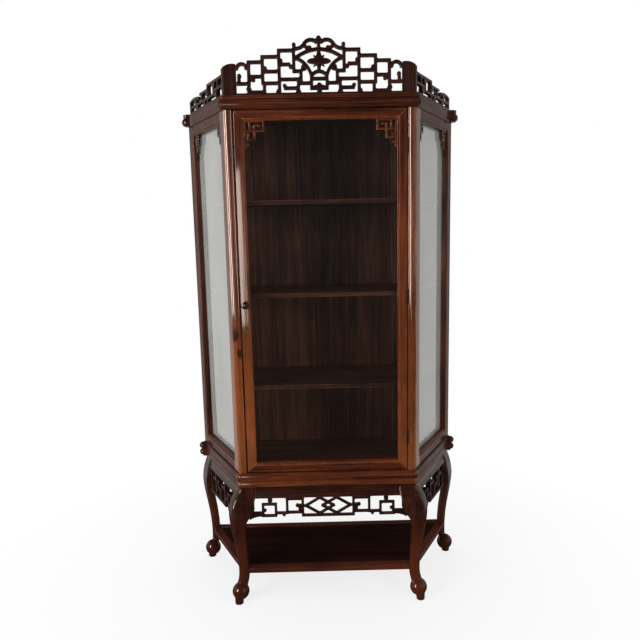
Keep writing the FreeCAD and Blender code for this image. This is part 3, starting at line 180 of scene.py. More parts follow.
def noise(tree, place, scale, detail, rough=0.55, distortion=0.0):
    """Noise over a place, with its frequency per metre along three axes."""
    spread = add(tree, "ShaderNodeMapping", {"Vector": place, "Scale": scale})
    return add(tree, "ShaderNodeTexNoise", {"Vector": spread.outputs["Vector"], "Scale": 1.0,
                                            "Detail": detail, "Roughness": rough,
                                            "Distortion": distortion}).outputs["Fac"]


def ranged(tree, value, low, high, to_low, to_high):
    """A value taken from one range to another."""
    return add(tree, "ShaderNodeMapRange", {"Value": value, "From Min": low, "From Max": high,
                                            "To Min": to_low, "To Max": to_high}).outputs["Result"]


def clouds(tree, place, figure, to_low, to_high):
    """A noise with its stretch that counts taken to another range."""
    settings, stretch = figure
    return ranged(tree, noise(tree, place, *settings), *stretch, to_low, to_high)


def relief(tree, height, strength, depth):
    """A surface raised by a height of one to a depth in metres."""
    return add(tree, "ShaderNodeBump", {"Strength": strength, "Distance": depth,
                                        "Height": height}).outputs["Normal"]


def maths(tree, operation, first, second):
    """Two values joined by an operation."""
    return add(tree, "ShaderNodeMath", {0: first, 1: second}, operation=operation).outputs[0]


def mixed(tree, factor, first, second, blend="MIX"):
    """Two colours mixed."""
    return add(tree, "ShaderNodeMix", {0: factor, 6: first, 7: second}, data_type="RGBA",
               blend_type=blend).outputs[2]


def opaque(colour, times=1.0):
    """A colour, darkened or lightened, as a socket takes it."""
    return (*[part * times for part in colour], 1.0)


def object_place(tree):
    """Place on the object, in metres."""
    return add(tree, "ShaderNodeTexCoord").outputs["Object"]


def shaded(tree, shader):
    """Send a shader to the material's surface."""
    add(tree, "ShaderNodeOutputMaterial", {"Surface": shader.outputs[0]})


# Noises: frequency per metre along three axes, detail, roughness and distortion
STREAKS = ((5.0, 170, 170), 7, 0.62, 0.25)
BANDS = ((1.3, 26, 26), 4, 0.5, 0.6)
PANE_WAVES = ((3.2, 3.2, 1.4), 1)
SCRATCHES = ((900, 900, 60), 3)
# The stretch that holds most of a noise's values
MOST = (0.3, 0.7)
# Noises with the stretch of their values that counts
PORES = ((16, 520, 520), 2, 0.5), (0.58, 0.72)
PATCHES = ((4.5, 4.5, 4.5), 4), (0.35, 0.7)
CAST = ((6, 6, 3.5), 3), (0.35, 0.65)
WEAR_AND_HIGHLIGHT_CLOUDS = ((38, 38, 14), 5), (0.38, 0.68)
DULLING = ((14, 14, 9), 5), MOST
SPOT_EDGES = ((90, 90, 45), 4), MOST
SMEARS = ((5, 5, 2.2), 5, 0.6, 0.8), (0.45, 0.75)
DUST_AND_SHEEN_CLOUDS = ((9, 9, 2.5), 5, 0.6, 0.5), MOST
STAINS = ((120, 120, 90), 6, 0.6), (0.4, 0.7)
FLOOR_MOTTLE = ((3, 3, 3), 3), MOST


# Woods

SIDE_TURN = math.atan2(CASE_DEPTH, FRONT_HALF - BACK_HALF)
GRAIN_TURNS = {
    "across": (0.0, 0.0, 0.0),
    "upright": (0.0, math.radians(90), 0.0),
    "left": (0.0, 0.0, -SIDE_TURN),
    "right": (0.0, 0.0, SIDE_TURN - math.pi),
}


def grain_place(tree, grain):
    """Object coordinates turned so that the grain runs along the first axis."""
    return add(tree, "ShaderNodeMapping", {"Vector": object_place(tree),
                                           "Rotation": GRAIN_TURNS[grain]}).outputs["Vector"]


def height_share(tree, low, high):
    """Nought below one height and one above another."""
    height = add(tree, "ShaderNodeSeparateXYZ", {"Vector": object_place(tree)}).outputs["Z"]
    return ranged(tree, height, low, high, 0.0, 1.0)


# Worn spots: their squeeze along three axes, how ragged they are, and the share that is worn through
SPOT_SQUEEZE, SPOT_RAGGED, SPOT_CORE = (1.0, 0.5, 0.55), 0.4, 0.55


def smudge(tree, place, radius):
    """A soft worn spot round a place, broken up by noise."""
    here = object_place(tree)
    apart = add(tree, "ShaderNodeVectorMath", {0: here, 1: place}, operation="SUBTRACT").outputs["Vector"]
    squeezed = add(tree, "ShaderNodeMapping", {"Vector": apart, "Scale": SPOT_SQUEEZE}).outputs["Vector"]
    away = add(tree, "ShaderNodeVectorMath", {0: squeezed}, operation="LENGTH").outputs["Value"]
    ragged = SPOT_RAGGED * radius
    broken = maths(tree, "ADD", away, clouds(tree, here, SPOT_EDGES, -ragged, ragged))
    return ranged(tree, broken, radius * SPOT_CORE, radius, 1.0, 0.0)


# Figure of the woods: share of streaks against bands, and where the three tones lie on their range
STREAK_SHARE, TONE_PLACES = 0.55, (0.36, 0.50, 0.66)
# Patches: how dark and light they make the wood; casts: their least share
PATCH_TONES, CAST_LEAST = (0.62, 1.15), 0.3
# Pores and worn spots: depth, and how dark they are beside the darkest streaks
PORE_DEPTH, PORE_TONE, SPOT_DEPTH, SPOT_TONE = 0.5, 0.35, 0.8, 0.3
# Lighter arrises, wear and painted highlight: least and greatest share, and how much lighter they are than
# the lightest streaks
WEAR_AND_HIGHLIGHT_SHARES, WEAR_AND_HIGHLIGHT_TIMES, WEAR_AND_HIGHLIGHT_LIFT = (0.05, 0.75), 1.5, 0.008
# Roughness of the wood: what patches and what streaks add to it
DULL_SPREAD, STREAK_SPREAD = (-0.06, 0.07), (-0.02, 0.03)
# Lacquer: gloss of its surface, its refraction, and the gloss left to the wood under it
LACQUER_ROUGH, LACQUER_IOR, UNDER_LACQUER = 0.07, 1.6, 0.03
# Relief of the grain: share of the streaks in it, and its strength and depth in metres
RELIEF_STREAKS, GRAIN_RELIEF = 0.35, (0.12, 0.0003)


def wood(name, grain, dark, mid, light, worn=False, warm=None, spots=(), gloss=0.34, lacquer=0.8):
    """Lacquered hardwood: streaks and bands along the grain, pores, patches, and lighter arrises of wear and
    painted highlight.

    warm is a cast, the heights where it begins and is whole, and its strength; gloss is a roughness; worn
    gives the arrises their lighter wood, wear and painted highlight.
    """
    full_name = "-".join([name, grain] + (["rubbed"] if worn else []))
    if full_name in bpy.data.materials:
        return bpy.data.materials[full_name]
    material, tree = blank(full_name)
    along = grain_place(tree, grain)
    here = object_place(tree)
    streaks = noise(tree, along, *STREAKS)
    figure = maths(tree, "ADD", maths(tree, "MULTIPLY", streaks, STREAK_SHARE),
                   maths(tree, "MULTIPLY", noise(tree, along, *BANDS), 1.0 - STREAK_SHARE))
    ramp = add(tree, "ShaderNodeValToRGB", {"Fac": figure})
    stops = ramp.color_ramp.elements
    stops[0].position, stops[0].color = TONE_PLACES[0], opaque(dark)
    stops[1].position, stops[1].color = TONE_PLACES[2], opaque(light)
    stops.new(TONE_PLACES[1]).color = opaque(mid)
    colour = ramp.outputs["Color"]
    if warm:
        cast, low, high, strength = warm
        amount = clouds(tree, here, CAST, CAST_LEAST * strength, strength)
        amount = maths(tree, "MULTIPLY", amount, height_share(tree, low, high))
        colour = mixed(tree, amount, colour, opaque(cast))
    patches = clouds(tree, here, PATCHES, *PATCH_TONES)
    colour = mixed(tree, 1.0, colour, add(tree, "ShaderNodeCombineColor",
                                          {0: patches, 1: patches, 2: patches}).outputs[0], "MULTIPLY")
    pores = clouds(tree, along, PORES, 0.0, PORE_DEPTH)
    colour = mixed(tree, pores, colour, opaque(dark, PORE_TONE))
    # Lighter arrises: wear, and a painted highlight where light catches the rounding
    if worn:
        worn_and_highlit_tone = [min(1.0, part * WEAR_AND_HIGHLIGHT_TIMES + WEAR_AND_HIGHLIGHT_LIFT) for part in light]
        colour = mixed(tree, clouds(tree, here, WEAR_AND_HIGHLIGHT_CLOUDS, *WEAR_AND_HIGHLIGHT_SHARES), colour, opaque(worn_and_highlit_tone))
    for place, radius in spots:
        spot = maths(tree, "MULTIPLY", smudge(tree, place, radius), SPOT_DEPTH)
        colour = mixed(tree, spot, colour, opaque(dark, SPOT_TONE))
    dull = clouds(tree, here, DULLING, *[gloss + part for part in DULL_SPREAD])
    rough = maths(tree, "ADD", dull, ranged(tree, streaks, *MOST, *STREAK_SPREAD))
    raised = maths(tree, "SUBTRACT", maths(tree, "MULTIPLY", streaks, RELIEF_STREAKS), pores)
    shaded(tree, add(tree, "ShaderNodeBsdfPrincipled", {
        "Base Color": colour, "Roughness": rough, "Normal": relief(tree, raised, *GRAIN_RELIEF),
        "Specular IOR Level": UNDER_LACQUER, "Coat Weight": lacquer, "Coat Roughness": LACQUER_ROUGH,
        "Coat IOR": LACQUER_IOR}))
    return material


# Casts: heights in metres where they begin and are whole, and their strength
POST_CAST, LEG_CAST = (1.35, 0.55, 0.75), (0.36, 0.20, 0.8)
# Worn spots by the lock, on the left front post: place and radius
POST_SPOTS = (((-0.297, -0.162, 0.962), 0.017), ((-0.284, -0.162, 0.900), 0.011))


def three_tones(kind):
    """Dark, middle and light tone of a wood."""
    tones = bpy.context.scene.cabinet_colours
    return [getattr(tones, kind + shade) for shade in ("_dark", "_mid", "_light")]


def frame_wood(grain, worn=False, spotted=False):
    """Posts in front, stiles, and beads and brackets of the door: red, with an orange cast low down."""
    cast = (bpy.context.scene.cabinet_colours.frame_warm, *POST_CAST)
    name = "frame-wood-spotted" if spotted else "frame-wood"
    return wood(name, grain, *three_tones("frame"), worn, cast, POST_SPOTS if spotted else ())


def rail_wood(grain, worn=False):
    """Rails of the door and front of the waist."""
    return wood("rail-wood", grain, *three_tones("frame"), worn)


def painted_shade_frame_wood(grain, worn=False):
    """Cornice, side frames, side boards and back posts: a darker copy of the frame wood, painted shade where
    little light falls.
    """
    tones = bpy.context.scene.cabinet_colours
    return wood("dark-frame-wood", grain, tones.leg_dark, tones.leg_light, tones.frame_mid, worn,
                lacquer=0.22)


def fret_wood(grain, worn=False):
    """Galleries with their corner boards, and aprons, nearly black."""
    return wood("fret-wood", grain, *three_tones("fret"), worn, lacquer=0.25)


def leg_wood(grain, worn=False):
    """Legs and rails of the stand, rails behind and side brackets, redder towards the feet."""
    cast = (bpy.context.scene.cabinet_colours.leg_warm, *LEG_CAST)
    return wood("leg-wood", grain, *three_tones("leg"), worn, cast, lacquer=0.55)


def painted_shade_shelf_wood(grain, worn=False):
    """Board of the lower shelf: its wood darkened to near black, painted shade under the case."""
    return wood("shelf-wood", grain, *three_tones("shelf"), worn, gloss=0.36, lacquer=0.12)


def inner_wood(grain, worn=False):
    """Boards and shelves inside the case, with little lacquer."""
    return wood("inner-wood", grain, *three_tones("inner"), worn, gloss=0.42, lacquer=0.15)


def knob_wood(grain, worn=False):
    """Polished dark wood of the knob."""
    tones = bpy.context.scene.cabinet_colours
    return wood("knob-wood", grain, tones.knob_dark, tones.knob_mid, tones.leg_mid, worn, gloss=0.2)


def both_faces(maker, grain, **more):
    """A wood and its lighter arrises of wear and painted highlight."""
    return [maker(grain, **more), maker(grain, worn=True, **more)]


# Glass and metals

# Share on the panes of a pale film that is partly dusty and partly a painted reflection of pale walls, how
# it spreads round that share, how dull smears are, and the glass itself
SIDE_FILM, DOOR_FILM, FILM_SPREAD = 0.20, 0.0, (0.8, 1.2)
SMEAR_ROUGH, GLASS_IOR, PANE_RELIEF = 0.012, 1.5, (0.05, 0.002)


def glass(name, film):
    """Old drawn glass: clear, with faint smears and a pale film, partly dusty and partly a painted
    reflection, letting lamp light through.
    """
    if name in bpy.data.materials:
        return bpy.data.materials[name]
    tones = bpy.context.scene.cabinet_colours
    material, tree = blank(name)
    here = object_place(tree)
    pane = add(tree, "ShaderNodeBsdfPrincipled", {
        "Base Color": opaque(tones.glass), "Roughness": clouds(tree, here, SMEARS, 0.0, SMEAR_ROUGH),
        "IOR": GLASS_IOR, "Transmission Weight": 1.0,
        "Normal": relief(tree, noise(tree, here, *PANE_WAVES), *PANE_RELIEF)})
    # Pale film: partly dusty, partly a painted reflection of pale walls that makes the side panes pale
    dust_and_sheen = add(tree, "ShaderNodeBsdfDiffuse", {"Color": opaque(tones.dust_and_sheen)})
    patchy = clouds(tree, here, DUST_AND_SHEEN_CLOUDS, *[film * part for part in FILM_SPREAD])
    pane = add(tree, "ShaderNodeMixShader", {0: patchy, 1: pane.outputs[0], 2: dust_and_sheen.outputs[0]})
    through = add(tree, "ShaderNodeBsdfTransparent", {"Color": opaque(tones.glass)})
    path = add(tree, "ShaderNodeLightPath")
    passing = maths(tree, "MAXIMUM", path.outputs["Is Shadow Ray"], path.outputs["Is Diffuse Ray"])
    shaded(tree, add(tree, "ShaderNodeMixShader", {0: passing, 1: pane.outputs[0], 2: through.outputs[0]}))
    return material


# Tarnish: how dark it is beside the clean metal, and what it adds to the roughness
STAIN_TONE, STAIN_ROUGH = 0.22, 0.2
# Scratches: what they add to the roughness, and their relief
SCRATCH_SPREAD, SCRATCH_RELIEF = (-0.05, 0.08), (0.12, 0.0002)


def metal(name, colour, rough, tarnish):
    """Old metal with dark tarnish and fine scratches."""
    if name in bpy.data.materials:
        return bpy.data.materials[name]
    material, tree = blank(name)
    here = object_place(tree)
    stains = clouds(tree, here, STAINS, 0.0, tarnish)
    scratches = noise(tree, here, *SCRATCHES)
    tint = mixed(tree, stains, opaque(colour), opaque(colour, STAIN_TONE))
    worn = ranged(tree, scratches, *MOST, *[rough + part for part in SCRATCH_SPREAD])
    dull = maths(tree, "ADD", worn, maths(tree, "MULTIPLY", stains, STAIN_ROUGH))
    shaded(tree, add(tree, "ShaderNodeBsdfPrincipled", {
        "Base Color": tint, "Metallic": 1.0, "Roughness": dull,
        "Normal": relief(tree, scratches, *SCRATCH_RELIEF)}))
    return material


def brass():
    """Leaves of the hinges."""
    return metal("darkened-brass", bpy.context.scene.cabinet_colours.brass, rough=0.34, tarnish=0.7)


def steel():
    """Pins, screws and lock."""
    return metal("dull-steel", bpy.context.scene.cabinet_colours.steel, rough=0.40, tarnish=0.6)


# Shaping helpers

# Vertices nearer than this are one, in metres, and faces that bend less than this are one
WELD, FLAT = 0.00001, math.radians(0.4)
# Arrises that bend less than these are shaded smooth, on joinery and on the turned knob
JOINERY_SMOOTH, TURNED_SMOOTH = math.radians(32), math.radians(40)

LEFT_RIGHT = ("left", "right")
# The four sides of stand and case, with the run of their grain
FOUR_SIDES = (("front", "across"), ("back", "across"), ("left", "left"), ("right", "right"))


def deselect():
    """Leave edit mode with nothing selected."""
    if bpy.context.object and bpy.context.object.mode != "OBJECT":
        bpy.ops.object.mode_set(mode="OBJECT")
    bpy.ops.object.select_all(action="DESELECT")


def take(piece):
    """Make a piece the only one selected, and the active one."""
    deselect()
    piece.select_set(True)
    bpy.context.view_layer.objects.active = piece


def edit(piece, select="SELECT"):
    """Open a piece's mesh, with all or none of it selected."""
    take(piece)
    bpy.ops.object.mode_set(mode="EDIT")
    bpy.ops.mesh.select_mode(type="VERT")
    bpy.ops.mesh.select_all(action=select)


def close():
    """Leave edit mode."""
    bpy.ops.object.mode_set(mode="OBJECT")


def taken_from(node, name):
    """A new piece with a copy of a node's mesh, its triangles merged into whole faces."""
    mesh = frame["nodes"][node].data.copy()
    mesh.name = name
    mesh.materials.clear()
    piece = bpy.data.objects.new(name, mesh)
    bpy.context.scene.collection.objects.link(piece)
    edit(piece)
    bpy.ops.mesh.remove_doubles(threshold=WELD)
    bpy.ops.mesh.dissolve_limited(angle_limit=FLAT)
    close()
    return piece


def modify(piece, kind, **settings):
    """Add a modifier and apply it."""
    take(piece)
    made = piece.modifiers.new(kind.title(), kind)
    for key, value in settings.items():
        setattr(made, key, value)
    bpy.ops.object.modifier_apply(modifier=made.name)


def finish(piece, body, materials, nodes):
    """Materials, body and the nodes that a piece stands for."""
    for material in materials[len(piece.data.materials):]:
        piece.data.materials.append(material)
    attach(piece, body)
    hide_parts(*nodes)


def long_arrises(piece, shortest, angle):
    """Mark the arrises that are long and sharp enough to be rounded."""
    edit(piece, "DESELECT")
    bpy.ops.mesh.select_mode(type="EDGE")
    shape = bmesh.from_edit_mesh(piece.data)
    for edge in shape.edges:
        if len(edge.link_faces) == 2 and edge.calc_length() > shortest:
            edge.select = edge.calc_face_angle() > math.radians(angle)
    bmesh.update_edit_mesh(piece.data)
    bpy.ops.transform.edge_bevelweight(value=1.0)
    close()


def eased(node, body, materials, round_over, segments=2, angle=30, shortest=0.006):
    """A node's piece with its arrises rounded, and made lighter there, wear and painted highlight, where
    there is a second wood.
    """
    piece = taken_from(node, "visual_" + node)
    for material in materials:
        piece.data.materials.append(material)
    long_arrises(piece, shortest, angle)
    modify(piece, "BEVEL", width=round_over, segments=segments, limit_method="WEIGHT",
           use_clamp_overlap=False, material=len(materials) - 1)
    take(piece)
    bpy.ops.object.shade_smooth_by_angle(angle=JOINERY_SMOOTH)
    modify(piece, "WEIGHTED_NORMAL", keep_sharp=True)
    finish(piece, body, materials, [node])
    return piece


def worn_and_highlit_faces(piece, normal, low=0.30, high=0.90):
    """Give the rounded flanks of a flat carving the lighter wood: wear, and a painted highlight on the
    rounding.
    """
    take(piece)
    for polygon in piece.data.polygons:
        polygon.select = low < abs(polygon.normal.dot(normal)) < high
    for vertex in piece.data.vertices:
        vertex.select = False
    bpy.ops.object.mode_set(mode="EDIT")
    bpy.ops.mesh.select_mode(type="FACE")
    piece.active_material_index = 1
    bpy.ops.object.material_slot_assign()
    close()


def carved(node, body, materials, facet, passes, normal=None):
    """A node's piece carved in the round: fine facets, smoothed until its arrises are soft."""
    piece = taken_from(node, "visual_" + node)
    modify(piece, "REMESH", mode="VOXEL", voxel_size=facet, adaptivity=0.0)
    if passes:
        modify(piece, "SMOOTH", factor=0.5, iterations=passes)
    for material in materials:
        piece.data.materials.append(material)
    if normal is not None:
        worn_and_highlit_faces(piece, normal)
    take(piece)
    bpy.ops.object.shade_smooth()
    finish(piece, body, materials, [node])
    return piece


def painted(node, material):
    """Give a node that stays its material."""
    mesh = frame["nodes"][node].data
    mesh.materials.clear()
    mesh.materials.append(material)


def drawn(name, points):
    """A line drawn point by point, left open for editing."""
    deselect()
    bpy.ops.mesh.primitive_plane_add(size=0.001, location=points[0])
    piece = bpy.context.object
    piece.name = piece.data.name = name
    edit(piece)
    bpy.ops.mesh.merge(type="CENTER")
    for before, after in zip(points, points[1:]):
        bpy.ops.mesh.extrude_vertices_move(TRANSFORM_OT_translate={"value": Vector(after) - Vector(before)})
    bpy.ops.mesh.select_all(action="SELECT")
    return piece


def arc(start, middle, end, count):
    """Places along the arc through three places of a flat outline."""
    (ax, ay), (bx, by), (cx, cy) = start, middle, end
    d = 2 * (ax * (by - cy) + bx * (cy - ay) + cx * (ay - by))
    a, b, c = ax * ax + ay * ay, bx * bx + by * by, cx * cx + cy * cy
    ux = (a * (by - cy) + b * (cy - ay) + c * (ay - by)) / d
    uy = (a * (cx - bx) + b * (ax - cx) + c * (bx - ax)) / d
    first = math.atan2(ay - uy, ax - ux)
    half = (math.atan2(by - uy, bx - ux) - first + math.pi) % (2 * math.pi) - math.pi
    rest = (math.atan2(cy - uy, cx - ux) - first - half + math.pi) % (2 * math.pi) - math.pi
    radius = math.hypot(ax - ux, ay - uy)
    return [(ux + radius * math.cos(first + (half + rest) * step / count),
             uy + radius * math.sin(first + (half + rest) * step / count)) for step in range(count + 1)]


def outward(place):
    """Outward normal of the left or right canted side; towards the back for the front."""
    if place == "front":
        return Vector((0, 1, 0))
    sizes = bpy.context.scene.cabinet_sizes
    run = Vector((sizes.back_half - sizes.front_half, sizes.back_depth - sizes.front_depth, 0)).normalized()
    return Vector((-run.y if place == "left" else run.y, -run.x, 0))


def pierced(kind):
    """A pierced run of front, left and right, carved with soft arrises."""
    sizes = bpy.context.scene.cabinet_sizes
    for place, grain in (FOUR_SIDES[0], *FOUR_SIDES[2:]):
        carved(kind + place, "case", both_faces(fret_wood, grain), sizes.fret_grain,
               sizes.fret_passes, outward(place))


# Stand

class CABINET_OT_legs(bpy.types.Operator):
    """Four cabriole legs, carved smooth down to their ball feet"""
    bl_idname = "cabinet.legs"
    bl_label = "Legs"

    def execute(self, context):
        sizes = context.scene.cabinet_sizes
        for place in ("front_left", "front_right", "back_left", "back_right"):
            carved("leg_" + place, "case", [leg_wood("upright")], sizes.leg_grain,
                   sizes.leg_passes)
        return {"FINISHED"}


class CABINET_OT_stand_rails(bpy.types.Operator):
    """Rails between the legs, under the waist"""
    bl_idname = "cabinet.stand_rails"
    bl_label = "Stand rails"

    def execute(self, context):
        sizes = context.scene.cabinet_sizes
        for place, grain in FOUR_SIDES:
            eased("stand_rail_" + place, "case", both_faces(leg_wood, grain), sizes.post_round)
        return {"FINISHED"}


class CABINET_OT_aprons(bpy.types.Operator):
    """Pierced aprons, carved with soft arrises"""
    bl_idname = "cabinet.aprons"
    bl_label = "Aprons"

    def execute(self, context):
        pierced("apron_")
        return {"FINISHED"}


class CABINET_OT_lower_shelf(bpy.types.Operator):
    """Lower shelf: four rails and the board between them"""
    bl_idname = "cabinet.lower_shelf"
    bl_label = "Lower shelf"

    def execute(self, context):
        sizes = context.scene.cabinet_sizes
        for place, grain in FOUR_SIDES:
            eased("lower_shelf_rail_" + place, "case", both_faces(leg_wood, grain),
                  sizes.door_round)
        eased("lower_shelf_panel", "case", both_faces(painted_shade_shelf_wood, "across"), sizes.door_round)
        return {"FINISHED"}


# Case

def moulded(name, front_maker):
    """A moulding's front, its two flat side boards and its plain rail behind."""
    sizes = bpy.context.scene.cabinet_sizes
    # Rails behind take the darker leg wood, and the sides the darker frame wood: painted shade where little
    # light falls
    makers = {"front": front_maker, "back": leg_wood}
    for place, grain in FOUR_SIDES:
        eased(name + place, "case", both_faces(makers.get(place, painted_shade_frame_wood), grain),
              sizes.moulding_round, angle=50, shortest=0.05)


class CABINET_OT_waist(bpy.types.Operator):
    """Waist moulding: two rolls with turned ends in front, flat boards along the sides"""
    bl_idname = "cabinet.waist"
    bl_label = "Waist"

    def execute(self, context):
        moulded("waist_moulding_", rail_wood)
        return {"FINISHED"}


class CABINET_OT_cornice(bpy.types.Operator):
    """Cornice: a thick nose with turned ends under a square fillet, flat boards along the sides"""
    bl_idname = "cabinet.cornice"
    bl_label = "Cornice"

    def execute(self, context):
        moulded("cornice_", painted_shade_frame_wood)
        return {"FINISHED"}


class CABINET_OT_posts(bpy.types.Operator):
    """Four posts of the case"""
    bl_idname = "cabinet.posts"
    bl_label = "Posts"

    def execute(self, context):
        sizes = context.scene.cabinet_sizes
        behind = both_faces(painted_shade_frame_wood, "upright")
        for place, woods in (("front_left", both_faces(frame_wood, "upright", spotted=True)),
                             ("front_right", both_faces(frame_wood, "upright")),
                             ("back_left", behind), ("back_right", behind)):
            eased("post_" + place, "case", woods, sizes.post_round)
        return {"FINISHED"}


class CABINET_OT_side_frames(bpy.types.Operator):
    """Rails, panes and glazing beads of the canted sides"""
    bl_idname = "cabinet.side_frames"
    bl_label = "Side frames"

    def execute(self, context):
        sizes = context.scene.cabinet_sizes
        for side in LEFT_RIGHT:
            for place in ("top", "bottom"):
                eased("side_rail_{}_{}".format(place, side), "case",
                      both_faces(painted_shade_frame_wood, side), sizes.post_round)
            painted("side_glass_" + side, glass("side-glass", SIDE_FILM))
        painted("side_glazing_beads", painted_shade_frame_wood("upright"))
        return {"FINISHED"}


class CABINET_OT_inside(bpy.types.Operator):
    """Boards of floor, top and back, shelves and their blocks"""
    bl_idname = "cabinet.inside"
    bl_label = "Inside"

    def execute(self, context):
        sizes = context.scene.cabinet_sizes
        eased("back_boards", "case", both_faces(inner_wood, "upright"), sizes.board_round / 2)
        for name in ("case_floor", "case_top", "shelves"):
            eased(name, "case", both_faces(inner_wood, "across"), sizes.board_round,
                  segments=3)
        eased("shelf_supports", "case", both_faces(inner_wood, "across"), sizes.door_round)
        return {"FINISHED"}


# Crown

class CABINET_OT_gallery(bpy.types.Operator):
    """Front and side galleries and their corner boards"""
    bl_idname = "cabinet.gallery"
    bl_label = "Gallery"

    def execute(self, context):
        pierced("gallery_")
        eased("gallery_posts", "case", both_faces(fret_wood, "upright"),
              context.scene.cabinet_sizes.moulding_round)
        return {"FINISHED"}


# Door

class CABINET_OT_door_frame(bpy.types.Operator):
    """Stiles, rails, pane and beads of the door"""
    bl_idname = "cabinet.door_frame"
    bl_label = "Door frame"

    def execute(self, context):
        sizes = context.scene.cabinet_sizes
        for maker, grain, names in ((frame_wood, "upright", ("stile_left", "stile_right")),
                                    (rail_wood, "across", ("rail_bottom", "rail_top"))):
            for name in names:
                eased("door_" + name, "door", both_faces(maker, grain), sizes.door_round)
        painted("door_glass", glass("door-glass", DOOR_FILM))
        painted("door_glazing_beads", frame_wood("upright"))
        return {"FINISHED"}


# Passes that round the brackets, and how much coarser the side ones are carved
BRACKET_PASSES, SIDE_BRACKET_COARSER = 3, 1.2


class CABINET_OT_brackets(bpy.types.Operator):
    """Fret brackets in the upper corners of door and side panes"""
    bl_idname = "cabinet.brackets"
    bl_label = "Corner brackets"

    def execute(self, context):
        sizes = context.scene.cabinet_sizes
        carved("door_brackets", "door", both_faces(frame_wood, "across"), sizes.bracket_grain,
               BRACKET_PASSES, outward("front"))
        carved("side_brackets", "case", [leg_wood("upright")],
               sizes.bracket_grain * SIDE_BRACKET_COARSER, BRACKET_PASSES)
        return {"FINISHED"}


# Tenon of the knob in metres, and how deep the knob is seated in the stile
TENON_LENGTH, TENON_RADIUS, KNOB_SEAT = 0.012, 0.004, 0.0002
# Neck, belly and crown of the knob: three places in shares of its length and radius, and the steps between
KNOB_CURVES = (
    (((0.03, 0.68), (0.30, 0.48), (0.58, 0.76)), 9),
    (((0.60, 0.80), (0.77, 1.0), (0.91, 0.80)), 9),
    (((0.925, 0.77), (0.985, 0.42), (1.0, 0.0)), 7),
)
KNOB_FACETS = 40


class CABINET_OT_knob(bpy.types.Operator):
    """Turned knob with its tenon"""
    bl_idname = "cabinet.knob"
    bl_label = "Knob"

    def execute(self, context):
        sizes = context.scene.cabinet_sizes
        low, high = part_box("door_knob")
        axis = Vector(((low.x + high.x) / 2, sizes.front_depth, (low.z + high.z) / 2))
        curves = [arc(*[(along * sizes.knob_reach, out * sizes.knob_radius) for along, out in places], steps)
                  for places, steps in KNOB_CURVES]
        outline = [(-TENON_LENGTH, 0.0), (-TENON_LENGTH, TENON_RADIUS), (-KNOB_SEAT, TENON_RADIUS),
                   (-KNOB_SEAT, curves[0][0][1]), *curves[0], *curves[1], *curves[2]]
        points = [axis + Vector((out, -along, 0)) for along, out in outline]
        piece = drawn("visual_door_knob", points)
        close()
        bpy.ops.object.transform_apply(location=True, rotation=True, scale=True)
        edit(piece)
        bpy.ops.mesh.spin(steps=KNOB_FACETS, angle=2 * math.pi, center=axis, axis=(0, 1, 0))
        bpy.ops.mesh.select_all(action="SELECT")
        bpy.ops.mesh.remove_doubles(threshold=2 * WELD)
        bpy.ops.mesh.normals_make_consistent(inside=False)
        close()
        bpy.ops.object.shade_smooth_by_angle(angle=TURNED_SMOOTH)
        finish(piece, "door", [knob_wood("across")], ["door_knob"])
        return {"FINISHED"}


class CABINET_OT_ironwork(bpy.types.Operator):
    """Hinges, screws, pins and the lock"""
    bl_idname = "cabinet.ironwork"
    bl_label = "Hinges and lock"

    def execute(self, context):
        for node in ("hinge_leaves_post", "hinge_leaves_door"):
            painted(node, brass())
        for node in ("hinge_pins", "hinge_screws_post", "hinge_screws_door", "lock_case", "lock_bolt"):
            painted(node, steel())
        return {"FINISHED"}


# Stage

# Lamps: name, place, width and height in metres, and power in watts
SOFT_LAMPS = (
    ("left-lamp", (-2.5, -2.3, 1.75), 1.3, 2.0, 74),
    ("right-lamp", (1.9, -2.6, 1.6), 0.9, 1.9, 26),
    ("top-lamp", (0.0, 0.2, 3.7), 2.6, 2.6, 40),
)
# The same for the lamps that draw highlights, and the start of the names of the pieces left without
GLOSS_LAMPS = (
    ("left-gloss", (-2.5, -2.3, 1.45), 0.8, 1.7, 130, ()),
    ("right-gloss", (1.9, -2.6, 1.6), 0.5, 1.7, 50, ()),
    ("strip-gloss", (-0.86, -3.66, 1.13), 0.30, 1.35, 13, ("visual_leg_",)),
)
LAMPS_LOOK_AT = Vector((0, 0, 1.1))
WHITE = (1.0, 1.0, 1.0, 1.0)


def soft_lamp(name, place, width, height, power):
    """A broad lamp that neither gloss nor glass shows."""
    deselect()
    turn = (LAMPS_LOOK_AT - Vector(place)).to_track_quat("-Z", "Y").to_euler()
    bpy.ops.object.light_add(type="AREA", location=place, rotation=turn)
    lamp = bpy.context.object
    lamp.name = name
    lamp.data.shape = "RECTANGLE"
    lamp.data.size = width
    lamp.data.size_y = height
    lamp.data.energy = power
    lamp.visible_glossy = lamp.visible_transmission = False
    return lamp


def gloss_lamp(name, place, width, height, power, without):
    """A lamp that only draws highlights on the lacquered wood, but for the pieces left without."""
    lamp = soft_lamp(name, place, width, height, power)
    lamp.data.color = bpy.context.scene.cabinet_colours.highlight
    lamp.visible_glossy, lamp.visible_diffuse = True, False
    wooden = bpy.data.collections.new(name)
    for piece in bpy.data.objects:
        if piece.type == "MESH" and piece.name.startswith("visual_") and not piece.name.startswith(without):
            wooden.objects.link(piece)
    lamp.light_linking.receiver_collection = wooden


# Parts of a direction: where the pale sides begin and are whole, where they begin to end up and down
# and are gone, and where the white behind the cabinet begins and is whole
PALE_ASIDE, PALE_UP, BEHIND = (0.42, 0.72), (0.45, 0.85), (-0.1, 0.1)


